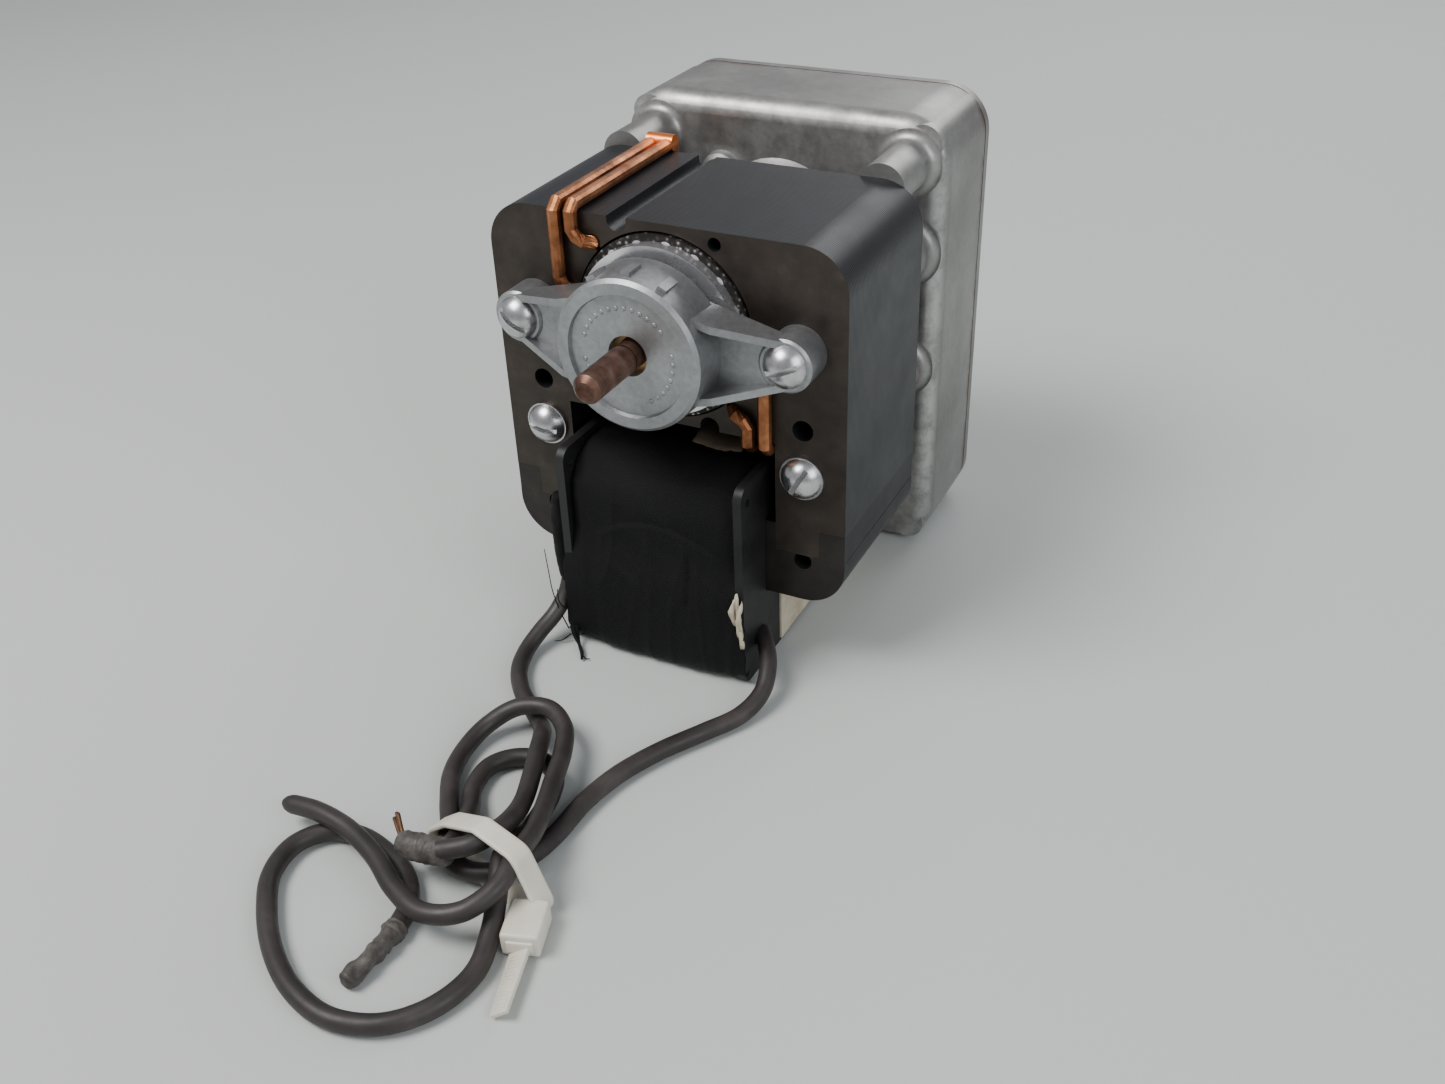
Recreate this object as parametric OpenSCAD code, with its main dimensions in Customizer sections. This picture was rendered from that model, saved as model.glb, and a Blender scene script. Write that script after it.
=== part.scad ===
// Shaded-pole gear motor for a roller shutter, in millimetres, +Z up.
// Each piece is drawn from the motor shaft's axis (X = 0, Z = 0) and the stator's front face
// (Y = 0), with the gearbox towards +Y. in_row_frame() then moves it to the part's own origin,
// which is on the surface that the motor stands on, below the middle of its length.

/* [Stator] */
// Width of the lamination stack
stator_w = 84; // [78:0.5:101]
// Depth of the lamination stack
stack_l = 42.2; // [35:0.1:51]
// Width of each leg beside the coil window
leg_w = 16.5; // [14:0.5:19]
// Height of the coil window
window_h = 19.75; // [17:0.25:24]
// Height of the core bar that carries the coil
core_bar_h = 18.8; // [16:0.1:22]
// Stack left between the bore and the flats above and below it
pole_bridge = 1.75; // [1.6:0.05:3]
// Outer corner radius of the stack
stator_corner_r = 10; // [6:0.5:12]
// Distance of the stator screws from the stack's side
screw_edge = 10; // [8:0.5:11]
// Radius of the screw shanks that pass through the stack
screw_r = 2.4; // [2:0.1:2.9]
// Clearance between a screw shank and its plain hole
screw_gap = 0.35; // [0.2:0.05:0.5]

/* [Rotor and motor shaft] */
// Radius of the rotor core
rotor_r = 20.5; // [17:0.1:24.6]
// Air gap between rotor and bore
air_gap = 0.5; // [0.4:0.05:0.8]
// Radius of the motor shaft
shaft_r = 3.175; // [2.6:0.005:3.85]
// Distance of the shaft's tip in front of the stator
shaft_front = 33; // [28:0.5:40]
// Radial clearance of every shaft in its bush
running_gap = 0.05; // [0.02:0.01:0.1]

/* [Shading rings] */
// Radius of the copper rod of the shading rings
ring_rod_r = 1.5; // [1.2:0.1:1.6]
// Half distance between the outer rods
outer_ring_x = 24; // [23:0.1:25]
// Half distance between the inner rods
inner_ring_x = 20; // [19:0.1:20.4]

/* [Coil] */
// Reach of the bobbin cheeks in front of and behind the stack
coil_reach = 12; // [10:0.5:14]
// Thickness of the bobbin cheeks
cheek_t = 2; // [1.5:0.1:2.4]
// Clearance between a cheek and the leg beside it
coil_side_gap = 2.5; // [1.5:0.1:3]
// Clearance between the pole and the top of the cheeks
coil_top_gap = 6.25; // [5:0.25:8]
// Thickness of the cloth tape over the coil
tape_t = 1.4; // [1:0.1:1.6]

/* [Front bracket] */
// Radius of the bearing hub
hub_r = 16.8; // [15.5:0.1:19]
// Distance of the hub's face in front of the stator
hub_face = 16.6; // [16:0.1:20]
// Thickness of the hub's face and side
hub_wall = 2.6; // [2:0.1:3]
// Radius of the feet that stand on the stator
foot_r = 5.9; // [5.2:0.1:6.2]
// Height of the feet
foot_h = 8; // [7:0.1:9]

/* [Gear train] */
// Tooth module of the first stage
module_1 = 0.8; // [0.75:0.01:0.85]
// Tooth module of the second stage
module_2 = 1; // [0.98:0.01:1.1]
// Tooth module of the output stage
module_3 = 1.25; // [1.1:0.01:1.5]
// Teeth of each pinion
pinion_teeth = 12; // [12:1:12]
// Teeth of the first wheel
wheel_1_teeth = 56; // [50:1:58]
// Teeth of the second wheel
wheel_2_teeth = 42; // [41:1:46]
// Teeth of the output wheel
wheel_3_teeth = 36; // [32:1:42]
// Face width of the first wheel
width_1 = 5.5; // [4.5:0.1:6.6]
// Face width of the second wheel
width_2 = 5.7; // [4.7:0.1:6.8]
// Face width of the output wheel
width_3 = 7.4; // [6.1:0.1:9]
// Backlash of each gear pair, along the pitch circle
backlash = 0.2; // [0.14:0.01:0.3]
// Sideways offset of the first wheel from the motor shaft
first_offset = 13; // [11:0.5:15]
// Height of the motor shaft above the output shaft
output_drop = 53.3; // [51:0.1:64]
// Radius of the pins that the wheels turn on
pin_r = 3; // [2.5:0.1:3.2]

/* [Gearbox] */
// Clear distance between stator and gearbox
standoff = 17.4; // [16:0.1:21]
// Wall thickness of the housing
box_wall = 2.8; // [2.4:0.1:3.4]
// Thickness of the rear cover
cover_t = 2.5; // [2.2:0.1:3]
// Height of the housing's top above the motor shaft
box_top = 31; // [29:0.5:37]
// Outer corner radius of the housing
box_corner_r = 11; // [9:0.5:12]
// Rounding of the housing's front edge
box_edge_r = 4.5; // [3:0.1:5]
// Clearance between a wheel and the housing's walls
wheel_gap = 1; // [0.8:0.1:2]

/* [Output shaft] */
// Radius of the output shaft
output_r = 6.35; // [5.3:0.05:7.6]
// Distance of the output shaft's tip behind the cover
output_reach = 30; // [25:0.5:40]
// Depth of the flat on the output shaft
flat_depth = 1; // [0.5:0.1:1.2]

/* [Mounting] */
// Drilled radius of the tapped mounting holes
mount_hole_r = 2.1; // [1.7:0.05:2.5]
// Sideways distance between the mounting holes
mount_spacing_x = 60; // [56:1:62]
// Upright distance between the mounting holes
mount_spacing_z = 70; // [64:1:74]

/* [Hidden] */
$fn = 64;
eps = 0.01;

// Stator, from the shaft's axis
bore_r = rotor_r + air_gap;
pole_h = bore_r + pole_bridge;
window_w = stator_w - 2 * leg_w;
bar_top = -pole_h - window_h;
stack_bottom = bar_top - core_bar_h;
foot_x = stator_w / 2 - screw_edge - 0.5;
screw_x = stator_w / 2 - screw_edge;
screw_z = -pole_h - 6.75;
spare_hole_z = -pole_h + 4.45;
dimple_z = bar_top - 4.3;
groove_x = 10;
groove_r = 2.3;
slot_hole_r = ring_rod_r + 0.2;
slot_r = bore_r + slot_hole_r + 0.3;
slot_angles = [134, 167];
hook_t = 6;
hook_h = 7;

// Gears: pitch radii, centre distances and tip radii
addendum_wheel = 0.75;
function pitch_r(m, teeth) = m * teeth / 2;
function tip_r(m, teeth) = pitch_r(m, teeth) + addendum_wheel * m;
cd_1 = pitch_r(module_1, pinion_teeth + wheel_1_teeth);
cd_2 = pitch_r(module_2, pinion_teeth + wheel_2_teeth);
cd_3 = pitch_r(module_3, pinion_teeth + wheel_3_teeth);
motor_at = [0, 0];
first_at = [-first_offset, -sqrt(cd_1 * cd_1 - first_offset * first_offset)];
output_at = [0, -output_drop];
// The second wheel's axis is where the circles of both its centre distances cross, on the right
first_to_output = output_at - first_at;
span = norm(first_to_output);
along = (cd_2 * cd_2 - cd_3 * cd_3 + span * span) / (2 * span);
aside = sqrt(cd_2 * cd_2 - along * along);
second_at = first_at + (along * first_to_output
    + aside * [-first_to_output[1], first_to_output[0]]) / span;

// Gearbox, along Y
gasket_t = 0.5;
front_gap = 2.6;
layer_gap = 1.2;
rear_gap = 2.2;
box_front = stack_l + standoff;
box_inside = box_front + box_wall;
y_1 = box_inside + front_gap;
y_2 = y_1 + width_1 + layer_gap;
y_3 = y_2 + width_2 + layer_gap;
cover_front = y_3 + width_3 + rear_gap;
cover_back = cover_front + cover_t;
rim_back = cover_front - gasket_t;
box_half_w = first_offset + tip_r(module_1, wheel_1_teeth) + 2 * wheel_gap + box_wall + 0.2;
box_bottom = -output_drop - tip_r(module_3, wheel_3_teeth) - wheel_gap - box_wall;
corner_inset = 6;
mid_screw_z = output_at[1] + 4.3;
cover_screw_r = 2;
cover_hole_r = cover_screw_r + 0.2;
cover_screw_head_r = 4;
cover_screw_l = 12;
mount_top_z = mid_screw_z - 13 + mount_spacing_z;
mount_depth = 12;
mount_boss_r = mount_hole_r + 2.7;
pin_boss_h = 1;
pin_boss_r = pin_r + 2.5;
pin_end_depth = 1.6;
boss_back = cover_back + 6;
flat_l = 9.5;
washer_t = 0.8;
clip_t = 0.6;

// The part's own origin
shaft_height = -box_bottom;
output_tip = cover_back + output_reach;
mid_y = (output_tip - shaft_front) / 2;

// Coil, around the core bar
cheek_x = window_w / 2 - coil_side_gap;
cheek_top = -pole_h - coil_top_gap;
tube_gap = 0.3;
tube_wall = 1.2;
wind_x = cheek_x - cheek_t;
paper_t = 0.5;
flap_t = 0.5;

// Bearings and rotor stack
front_bush_r = shaft_r + 2.4;
rear_bush_r = shaft_r + 2.8;
rear_bush_front = box_front - 8.5;
core_over = 0.5;
cage_l = 2.7;
pinion_seat_r = shaft_r - 0.675;
hub_back = 5.5;
front_bush_back = 6.6;
felt_t = 2;
retainer_t = 0.8;

module in_row_frame() { translate([0, -mid_y, shaft_height]) children(); }

// A flat shape in X and Z, thick from y_lo to y_hi
module plate(y_lo, y_hi) {
    translate([0, y_hi, 0]) rotate([90, 0, 0]) linear_extrude(height = y_hi - y_lo) children();
}

// A flat shape in Y and Z, thick from x_lo to x_hi
module across(x_lo, x_hi) {
    translate([x_lo, 0, 0]) rotate([90, 0, 90]) linear_extrude(height = x_hi - x_lo) children();
}

// A turned shape: its flat profile is [radius, y], and at is the axis in X and Z
module turned(at = motor_at) {
    translate([at[0], 0, at[1]]) rotate([-90, 0, 0]) rotate_extrude() children();
}

module rod(r, y_lo, y_hi, at = motor_at) {
    translate([at[0], y_lo, at[1]]) rotate([-90, 0, 0]) cylinder(r = r, h = y_hi - y_lo);
}

module tube(r_in, r_out, y_lo, y_hi, at = motor_at) {
    turned(at) translate([r_in, y_lo]) square([r_out - r_in, y_hi - y_lo]);
}

module both_sides() {
    children();
    mirror([1, 0, 0]) children();
}

function unit(v) = v / norm(v);

// A round rod of the radius r along the points. Its sections are turned by the direction ref,
// which no stretch of the route may be parallel to.
module swept(route, r, ref, closed = false) {
    sides = 12;
    n = len(route);
    function at(i) = closed ? route[(i + n) % n] : route[max(0, min(n - 1, i))];
    function corner(i, k) = (i % n) * sides + k % sides;
    polyhedron(
        [for (i = [0 : n - 1])
            let (t = unit(at(i + 1) - at(i - 1)), u = unit(cross(t, ref)), v = cross(u, t))
            for (k = [0 : sides - 1])
                route[i] + r * (cos(k * 360 / sides) * u + sin(k * 360 / sides) * v)],
        concat([for (i = [0 : n - (closed ? 1 : 2)], k = [0 : sides - 1])
                each [[corner(i, k), corner(i, k + 1), corner(i + 1, k)],
                      [corner(i, k + 1), corner(i + 1, k + 1), corner(i + 1, k)]]],
               closed ? [] : [[for (k = [sides - 1 : -1 : 0]) corner(0, k)],
                              [for (k = [0 : sides - 1]) corner(n - 1, k)]]));
}

// A rectangle from lo to hi with round corners
module round_rect(lo, hi, r) {
    translate([lo[0] + r, lo[1]]) square([hi[0] - lo[0] - 2 * r, hi[1] - lo[1]]);
    translate([lo[0], lo[1] + r]) square([hi[0] - lo[0], hi[1] - lo[1] - 2 * r]);
    for (x = [lo[0] + r, hi[0] - r], y = [lo[1] + r, hi[1] - r]) translate([x, y]) circle(r);
}

// A block with round corners and a rounded front edge
module soft_block(half_w, z_lo, z_hi, y_lo, y_hi, corner_r, edge_r) {
    // the section across an edge: a bar of half-width w whose front corners are round
    module section(w) {
        translate([-w, y_lo + edge_r]) square([2 * w, y_hi - y_lo - edge_r]);
        translate([edge_r - w, y_lo]) square([2 * (w - edge_r), edge_r + eps]);
        for (s = [-1, 1]) translate([s * (w - edge_r), y_lo + edge_r]) circle(edge_r);
    }
    z_mid = (z_lo + z_hi) / 2;
    half_h = (z_hi - z_lo) / 2;
    translate([0, 0, z_lo + corner_r]) linear_extrude(height = z_hi - z_lo - 2 * corner_r)
        section(half_w);
    translate([corner_r - half_w, 0, z_mid]) rotate([90, 0, 90])
        linear_extrude(height = 2 * (half_w - corner_r)) rotate(90) mirror([0, 1]) section(half_h);
    for (x = [corner_r - half_w, half_w - corner_r], z = [z_lo + corner_r, z_hi - corner_r])
        turned([x, z]) intersection() {
            section(corner_r);
            translate([0, y_lo]) square([corner_r, y_hi - y_lo]);
        }
}

// ---- stator ----

module stack_outline() {
    round_rect([-stator_w / 2, stack_bottom], [stator_w / 2, pole_h], stator_corner_r);
}

// The core bar with the hooks at its ends that lock into the legs
module bar_outline(gap) {
    intersection() {
        stack_outline();
        union() {
            translate([-stator_w / 2, stack_bottom - 1])
                square([stator_w, bar_top - hook_h - stack_bottom + 1 - gap]);
            for (s = [-1, 1])
                translate([s * (stator_w / 2 - hook_t / 2) - hook_t / 2 + gap, stack_bottom])
                    square([hook_t - 2 * gap, core_bar_h - gap]);
            translate([-window_w / 2, stack_bottom]) square([window_w, core_bar_h - gap]);
        }
    }
}

module shading_slots() {
    for (a = slot_angles) rotate(a) {
        translate([slot_r, 0]) circle(slot_hole_r, $fn = 32);
        translate([bore_r - 1, -0.6]) square([slot_r - bore_r + 1, 1.2]);
    }
}

module stator_core() {
    color("#3a3634") in_row_frame() plate(0, stack_l) difference() {
        stack_outline();
        circle(bore_r, $fn = 96);
        bar_outline(0);
        translate([-window_w / 2, bar_top]) square([window_w, window_h]);
        for (s = [0, 180]) rotate(s) {
            shading_slots();
            translate([-groove_x, pole_h - 0.8]) circle(groove_r);
            translate([-groove_x - groove_r, pole_h - 0.8]) square([2 * groove_r, 2]);
        }
        for (s = [-1, 1]) {
            translate([s * foot_x, 0]) circle(screw_r + screw_gap);
            translate([s * screw_x, screw_z]) circle(screw_r + screw_gap);
            translate([s * screw_x, spare_hole_z]) circle(screw_r);
        }
        translate([12.6, pole_h - 2.75]) circle(1.5, $fn = 32);
    }
}

module coil_core() {
    color("#2f3338") in_row_frame() plate(0, stack_l) difference() {
        bar_outline(0.05);
        for (s = [-1, 1]) translate([s * screw_x, dimple_z - 4.2]) circle(2.1, $fn = 32);
    }
}

// ---- coil ----

module tube_outline(grow) {
    round_rect([-tube_gap - grow, stack_bottom - tube_gap - grow],
               [stack_l + tube_gap + grow, bar_top + tube_gap + grow], 0.5 + grow);
}

// The coil's outline, inset from the cheeks' edges
module coil_outline(inset) {
    round_rect([inset - coil_reach, box_bottom + inset],
               [stack_l + coil_reach - inset, cheek_top - inset], 5);
}

module coil_bobbin() {
    color("#1c1c1e") in_row_frame() {
        both_sides() across(wind_x, cheek_x) difference() {
            round_rect([-coil_reach, box_bottom], [stack_l + coil_reach, cheek_top], 3);
            tube_outline(0);
            translate([3.2 - coil_reach, cheek_top - 4.2]) circle(0.9);
        }
        across(-wind_x - eps, wind_x + eps) difference() {
            tube_outline(tube_wall);
            tube_outline(0);
        }
    }
}

module coil_ring(inner_inset, outer_inset) {
    across(-wind_x, wind_x) difference() {
        coil_outline(outer_inset);
        coil_outline(inner_inset);
    }
}

module coil_winding() {
    color("#a4602f") in_row_frame() across(-wind_x, wind_x) difference() {
        coil_outline(tape_t + paper_t);
        tube_outline(tube_wall);
    }
}

module coil_paper() {
    color("#d8ccb0") in_row_frame() coil_ring(tape_t + paper_t, tape_t);
}

module coil_tape() {
    color("#141414") in_row_frame() coil_ring(tape_t, 0.15);
}

// Loose end of the insulating paper, against the outside of the right cheek
module paper_flap() {
    flap_back = stack_l + coil_reach - 4;
    color("#d8ccb0") in_row_frame() across(cheek_x, cheek_x + flap_t)
        translate([7, box_bottom + 1]) square([flap_back - 7, stack_bottom - box_bottom - 2]);
}

// Insulating paper between the pole and the coil, folded down along its front edge
module window_paper() {
    top = cheek_top + 3.2;
    color("#8a7654") in_row_frame() translate([5, 1, top - 0.4]) {
        cube([12, stack_l - 2, 0.4]);
        translate([0, 0, -2.6]) cube([12, 0.4, 2.6]);
    }
}

// Taped joint between the winding's end and the left lead, against the left cheek
module splice_wrap() {
    x = -cheek_x - 2.4;
    color("#161616") in_row_frame()
        swept([[x, 3.2 - coil_reach, -38], [x, 3.4 - coil_reach, -42], [x, 4.4 - coil_reach, -58],
               [x, 4.4 - coil_reach, box_bottom + 13]], 2.3, [1, 0, 0]);
}

// ---- shading rings ----

// The points of a closed loop, with each corner cut by two points at the distance c from it
function cut_corners(loop, c) = [for (i = [0 : len(loop) - 1])
    let (p = loop[i], before = loop[(i + len(loop) - 1) % len(loop)] - p,
         after = loop[(i + 1) % len(loop)] - p)
    each [p + c * unit(before), p + c * unit(after)]];

function slot_at(i) = slot_r * [cos(slot_angles[i]), sin(slot_angles[i])];

// A closed ring: along the flat, down the front, back through the slot and up the rear.
// elbow_z is the height where the rod leaves the vertical for its slot.
module shading_ring(x, slot, elbow_z) {
    r = ring_rod_r;
    y_front = -r - 0.15;
    y_rear = stack_l + r + 0.15;
    z_top = pole_h + r + 0.1;
    s = slot_at(slot);
    swept(cut_corners([[x, y_front, z_top], [x, y_rear, z_top], [x, y_rear, elbow_z],
                       [s[0], y_rear, s[1]], [s[0], y_front, s[1]], [x, y_front, elbow_z]], 1.2),
          r, [1, 0, 0], true);
}

module shading_pair() {
    shading_ring(-outer_ring_x, 1, slot_at(1)[1] + 2);
    shading_ring(-inner_ring_x, 0, slot_at(0)[1] + 1.5);
    // the braze that closes both rings at the rear
    blob_x = -(outer_ring_x + inner_ring_x) / 2;
    translate([blob_x - 3.4, stack_l + 0.4, pole_h + 1.9]) rotate([0, 90, 0])
        cylinder(r = 1.85, h = 6.8, $fn = 32);
}

module shading_rings_upper() { color("#b5682f") in_row_frame() shading_pair(); }

module shading_rings_lower() {
    color("#b5682f") in_row_frame() rotate([0, 180, 0]) shading_pair();
}

// ---- rotor ----

module rotor_core() {
    slots = 17;
    color("#4a4744") in_row_frame() difference() {
        rod(rotor_r, -core_over, stack_l + core_over, $fn = 96);
        rod(shaft_r, -core_over - 1, stack_l + core_over + 1);
        for (i = [0 : slots - 1]) rotate([0, i * 360 / slots, 0])
            rod(1.4, -core_over - 1, stack_l + core_over + 1, [rotor_r - 2.6, 0], $fn = 16);
    }
}

module rotor_cage() {
    slots = 17;
    ring_r = rotor_r - 1.6;
    color("#c9ccd0") in_row_frame() {
        for (y = [-core_over - cage_l, stack_l + core_over])
            tube(rotor_r - 8.5, ring_r, y, y + cage_l, $fn = 96);
        for (i = [0 : slots - 1]) rotate([0, i * 360 / slots, 0])
            rod(1.4, -core_over - eps, stack_l + core_over + eps, [rotor_r - 2.6, 0], $fn = 16);
    }
}

module motor_shaft() {
    dome = 1.2;
    end = y_1 + width_1 + 0.3;
    step = box_inside + 0.9;
    color("#6e4a38") in_row_frame() turned() {
        polygon([[0, -shaft_front], [shaft_r - dome, -shaft_front], [shaft_r, dome - shaft_front],
                 [shaft_r, -hub_face - 1.2], [shaft_r - 0.35, -hub_face - 1.2],
                 [shaft_r - 0.35, -hub_face - 0.6], [shaft_r, -hub_face - 0.6], [shaft_r, step], [pinion_seat_r, step], [pinion_seat_r, end - 0.4],
                 [pinion_seat_r - 0.4, end], [0, end]]);
    }
}

// Sleeves that space the rotor core from its two bushes
module rotor_spacers() {
    color("#8b8d90") in_row_frame() {
        tube(shaft_r, shaft_r + 1.8, 0.3 - front_bush_back, -core_over);
        tube(shaft_r, shaft_r + 1.8, stack_l + core_over, rear_bush_front - 0.3);
    }
}

// ---- front bracket ----

module hub_profile() {
    difference() {
        polygon([[shaft_r + 1.3, -hub_face + 0.9], [13.3, -hub_face + 0.9], [13.6, -hub_face],
                 [hub_r - 0.8, -hub_face], [hub_r, 0.8 - hub_face], [hub_r + 0.5, -hub_back],
                 [shaft_r + 1.3, -hub_back]]);
        // the cup behind the face, and the seat of the bush in its middle
        translate([front_bush_r + 3, hub_wall - hub_face + 0.9])
            square([hub_r - hub_wall - front_bush_r - 3, hub_face]);
        translate([0, hub_wall - hub_face + 0.9]) square([front_bush_r, hub_face]);
        translate([0, -front_bush_back - felt_t - retainer_t + 0.4])
            square([hub_r - hub_wall, hub_face]);
    }
}

// One arm: a channel whose ribs slope back from the hub to the foot
module bracket_arm() {
    rib = 1.7;
    root_h = 10;
    end_h = 5.4;
    module arm_outline(inset) {
        polygon([[hub_r - 4, inset - root_h], [foot_x, inset - end_h], [foot_x, end_h - inset],
                 [hub_r - 4, root_h - inset]]);
    }
    plate(-7.4, -4.6) arm_outline(0);
    intersection() {
        plate(-hub_face, -4.6) difference() {
            arm_outline(0);
            arm_outline(rib);
        }
        translate([0, 0, -root_h - 1]) linear_extrude(height = 2 * root_h + 2)
            polygon([[hub_r - 4, -13.6], [hub_r + 1, -13.6], [foot_x, -foot_h],
                     [foot_x, -4.6], [hub_r - 4, -4.6]]);
    }
    turned([foot_x, 0]) polygon([[0, -foot_h], [foot_r - 0.5, -foot_h], [foot_r, 0.5 - foot_h],
                                 [foot_r, 0], [0, 0]]);
}

module front_bracket() {
    color("#a9acaf") in_row_frame() difference() {
        union() {
            turned($fn = 96) hub_profile();
            difference() {
                both_sides() bracket_arm();
                rod(hub_r - 0.3, -hub_face - 1, 0, $fn = 96);
            }
            // casting lugs on the hub's rim
            for (a = [62, 90, 118]) rotate([0, -a, 0]) translate([hub_r - 0.5, -hub_face + 2, -1])
                cube([1.5, 5, 2]);
        }
        for (s = [-1, 1]) rod(screw_r + screw_gap, -foot_h - 1, 1, [s * foot_x, 0]);
    }
}

module front_bush() {
    color("#9a7b4f") in_row_frame()
        tube(shaft_r + running_gap, front_bush_r, hub_wall - hub_face + 0.9, -front_bush_back);
}

module oil_felt() {
    back = -front_bush_back - retainer_t + 0.4;
    color("#8d8676") in_row_frame()
        tube(front_bush_r, hub_r - hub_wall - 1.5, back - felt_t, back);
}

module felt_retainer() {
    back = -front_bush_back + 0.4;
    color("#85888b") in_row_frame()
        tube(front_bush_r + 0.4, hub_r - hub_wall, back - retainer_t, back);
}

// ---- motor screws ----

// A slotted round-head screw, head towards -Y, seated at y = seat
module round_head_screw(at, seat, end, slot_angle) {
    head_r = 2 * screw_r;
    head_h = 3.3;
    dome_r = (head_r * head_r + head_h * head_h) / (2 * head_h);
    difference() {
        union() {
            rod(screw_r, seat - eps, end, at);
            turned(at) intersection() {
                translate([0, seat - head_h + dome_r]) circle(dome_r, $fn = 96);
                translate([0, seat - head_h - 1]) square([head_r, head_h + 1]);
            }
        }
        translate([at[0], seat - head_h - 1, at[1]]) rotate([0, slot_angle, 0])
            translate([-head_r - 1, 0, -0.6]) cube([2 * head_r + 2, 2.6, 1.2]);
    }
}

module bracket_screws() {
    color("#b9bcc0") in_row_frame() {
        round_head_screw([-foot_x, 0], -foot_h, box_front - 3, 35);
        round_head_screw([foot_x, 0], -foot_h, box_front - 3, -20);
    }
}

module stator_screws() {
    color("#b9bcc0") in_row_frame() {
        round_head_screw([-screw_x, screw_z], -washer_t, box_front - 3, 10);
        round_head_screw([screw_x, screw_z], -washer_t, box_front - 3, -60);
    }
}

module lock_washers() {
    color("#9fa2a6") in_row_frame() both_sides()
        tube(screw_r + 0.15, 2 * screw_r + 0.3, -washer_t, 0, [screw_x, screw_z]);
}

// ---- gearbox ----

cover_screws_at = [for (s = [-1, 1], z = [box_top - corner_inset, mid_screw_z,
                                        box_bottom + corner_inset])
                   [s * (box_half_w - corner_inset), z]];
mounts_at = [for (s = [-1, 1], z = [mount_top_z, mount_top_z - mount_spacing_z])
             [s * mount_spacing_x / 2, z]];

// A round post in front of the housing, widening in a fillet where it meets the front wall
module post(at, r) {
    fillet = 2.5;
    turned(at) {
        translate([0, stack_l]) square([r, standoff + 1]);
        difference() {
            translate([0, box_front - fillet]) square([r + fillet, fillet + 1]);
            translate([r + fillet, box_front - fillet]) circle(fillet);
        }
    }
}

module box_outline(inset) {
    round_rect([inset - box_half_w, box_bottom + inset], [box_half_w - inset, box_top - inset],
               box_corner_r - inset);
}

module gearbox_housing() {
    top_post_z = pole_h - 2.25;
    bush_seat_r = output_r + 0.65;
    color("#8e9194") in_row_frame() difference() {
        union() {
            difference() {
                soft_block(box_half_w, box_bottom, box_top, box_front, rim_back,
                           box_corner_r, box_edge_r);
                soft_block(box_half_w - box_wall, box_bottom + box_wall, box_top - box_wall,
                           box_inside, rim_back + 10, box_corner_r - box_wall,
                           box_edge_r - box_wall);
            }
            both_sides() {
                post([screw_x, top_post_z], 5.5);
                post([foot_x, 0], 6.8);
                post([screw_x, screw_z], 5.7);
            }
            // motor bearing boss, with a wider step against the wall
            turned() polygon([[0, rear_bush_front], [rear_bush_r + 3, rear_bush_front],
                              [rear_bush_r + 4, rear_bush_front + 1],
                              [rear_bush_r + 4.5, box_front - 4], [15.5, box_front - 3],
                              [18, box_front], [18, box_front + 1], [0, box_front + 1]]);
            // cast bump beside the bearing boss
            turned([-15, 13]) polygon([[0, box_front - 3], [4, box_front - 3], [5, box_front - 2],
                                       [5.5, box_front + 1], [0, box_front + 1]]);
            for (at = cover_screws_at) rod(4.4, box_front + 1, rim_back, at);
            for (at = [first_at, second_at]) rod(min(pin_boss_r, 5.4), box_front + 1,
                                                 box_inside + pin_boss_h, at);
            rod(bush_seat_r + 1.8, box_front + 1, box_inside + 2, output_at);
        }
        rod(rear_bush_r, rear_bush_front - 1, box_inside + 1);
        for (s = [-1, 1]) {
            rod(screw_r, stack_l - 1, box_front - 2.5, [s * foot_x, 0]);
            rod(screw_r, stack_l - 1, box_front - 2.5, [s * screw_x, screw_z]);
        }
        for (at = cover_screws_at) rod(cover_screw_r, rim_back - cover_screw_l, rim_back + 1, at);
        for (at = [first_at, second_at])
            rod(pin_r, box_inside - pin_end_depth, box_inside + pin_boss_h + 1, at);
        rod(bush_seat_r, box_inside - pin_end_depth, box_inside + 3, output_at);
    }
}

module rear_bush() {
    color("#9a7b4f") in_row_frame()
        tube(shaft_r + running_gap, rear_bush_r, rear_bush_front, box_inside);
}

module gearbox_gasket() {
    color("#5a4632") in_row_frame() plate(rim_back, cover_front) difference() {
        box_outline(0.4);
        difference() {
            box_outline(box_wall + 0.2);
            for (at = cover_screws_at) translate(at) circle(cover_screw_head_r);
        }
        for (at = cover_screws_at) translate(at) circle(cover_hole_r);
    }
}

module gearbox_cover() {
    boss_r = output_r + 5.6;
    bush_seat_r = output_r + 2.5;
    color("#9b9ea1") in_row_frame() difference() {
        union() {
            plate(cover_front, cover_back) box_outline(0);
            for (at = mounts_at) rod(mount_boss_r, cover_front - mount_depth, cover_back, at);
            for (at = [first_at, second_at])
                rod(pin_boss_r, cover_front - pin_boss_h, cover_back, at);
            turned(output_at) polygon([[0, cover_front], [boss_r, cover_front],
                                       [boss_r, boss_back - 0.8], [boss_r - 0.8, boss_back],
                                       [0, boss_back]]);
        }
        for (at = cover_screws_at) {
            rod(cover_hole_r, cover_front - 1, cover_back + 1, at);
            turned(at) polygon([[0, cover_back + eps], [cover_screw_head_r, cover_back + eps],
                                [cover_hole_r, cover_back - 2.1], [0, cover_back - 2.1]]);
        }
        for (at = mounts_at) rod(mount_hole_r, cover_front - mount_depth + 1.5,
                                 cover_back + 1, at);
        for (at = [first_at, second_at])
            rod(pin_r, cover_front - pin_boss_h - 1, cover_front + pin_end_depth, at);
        rod(bush_seat_r, cover_front - 1, boss_back + 1, output_at);
    }
}

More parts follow.
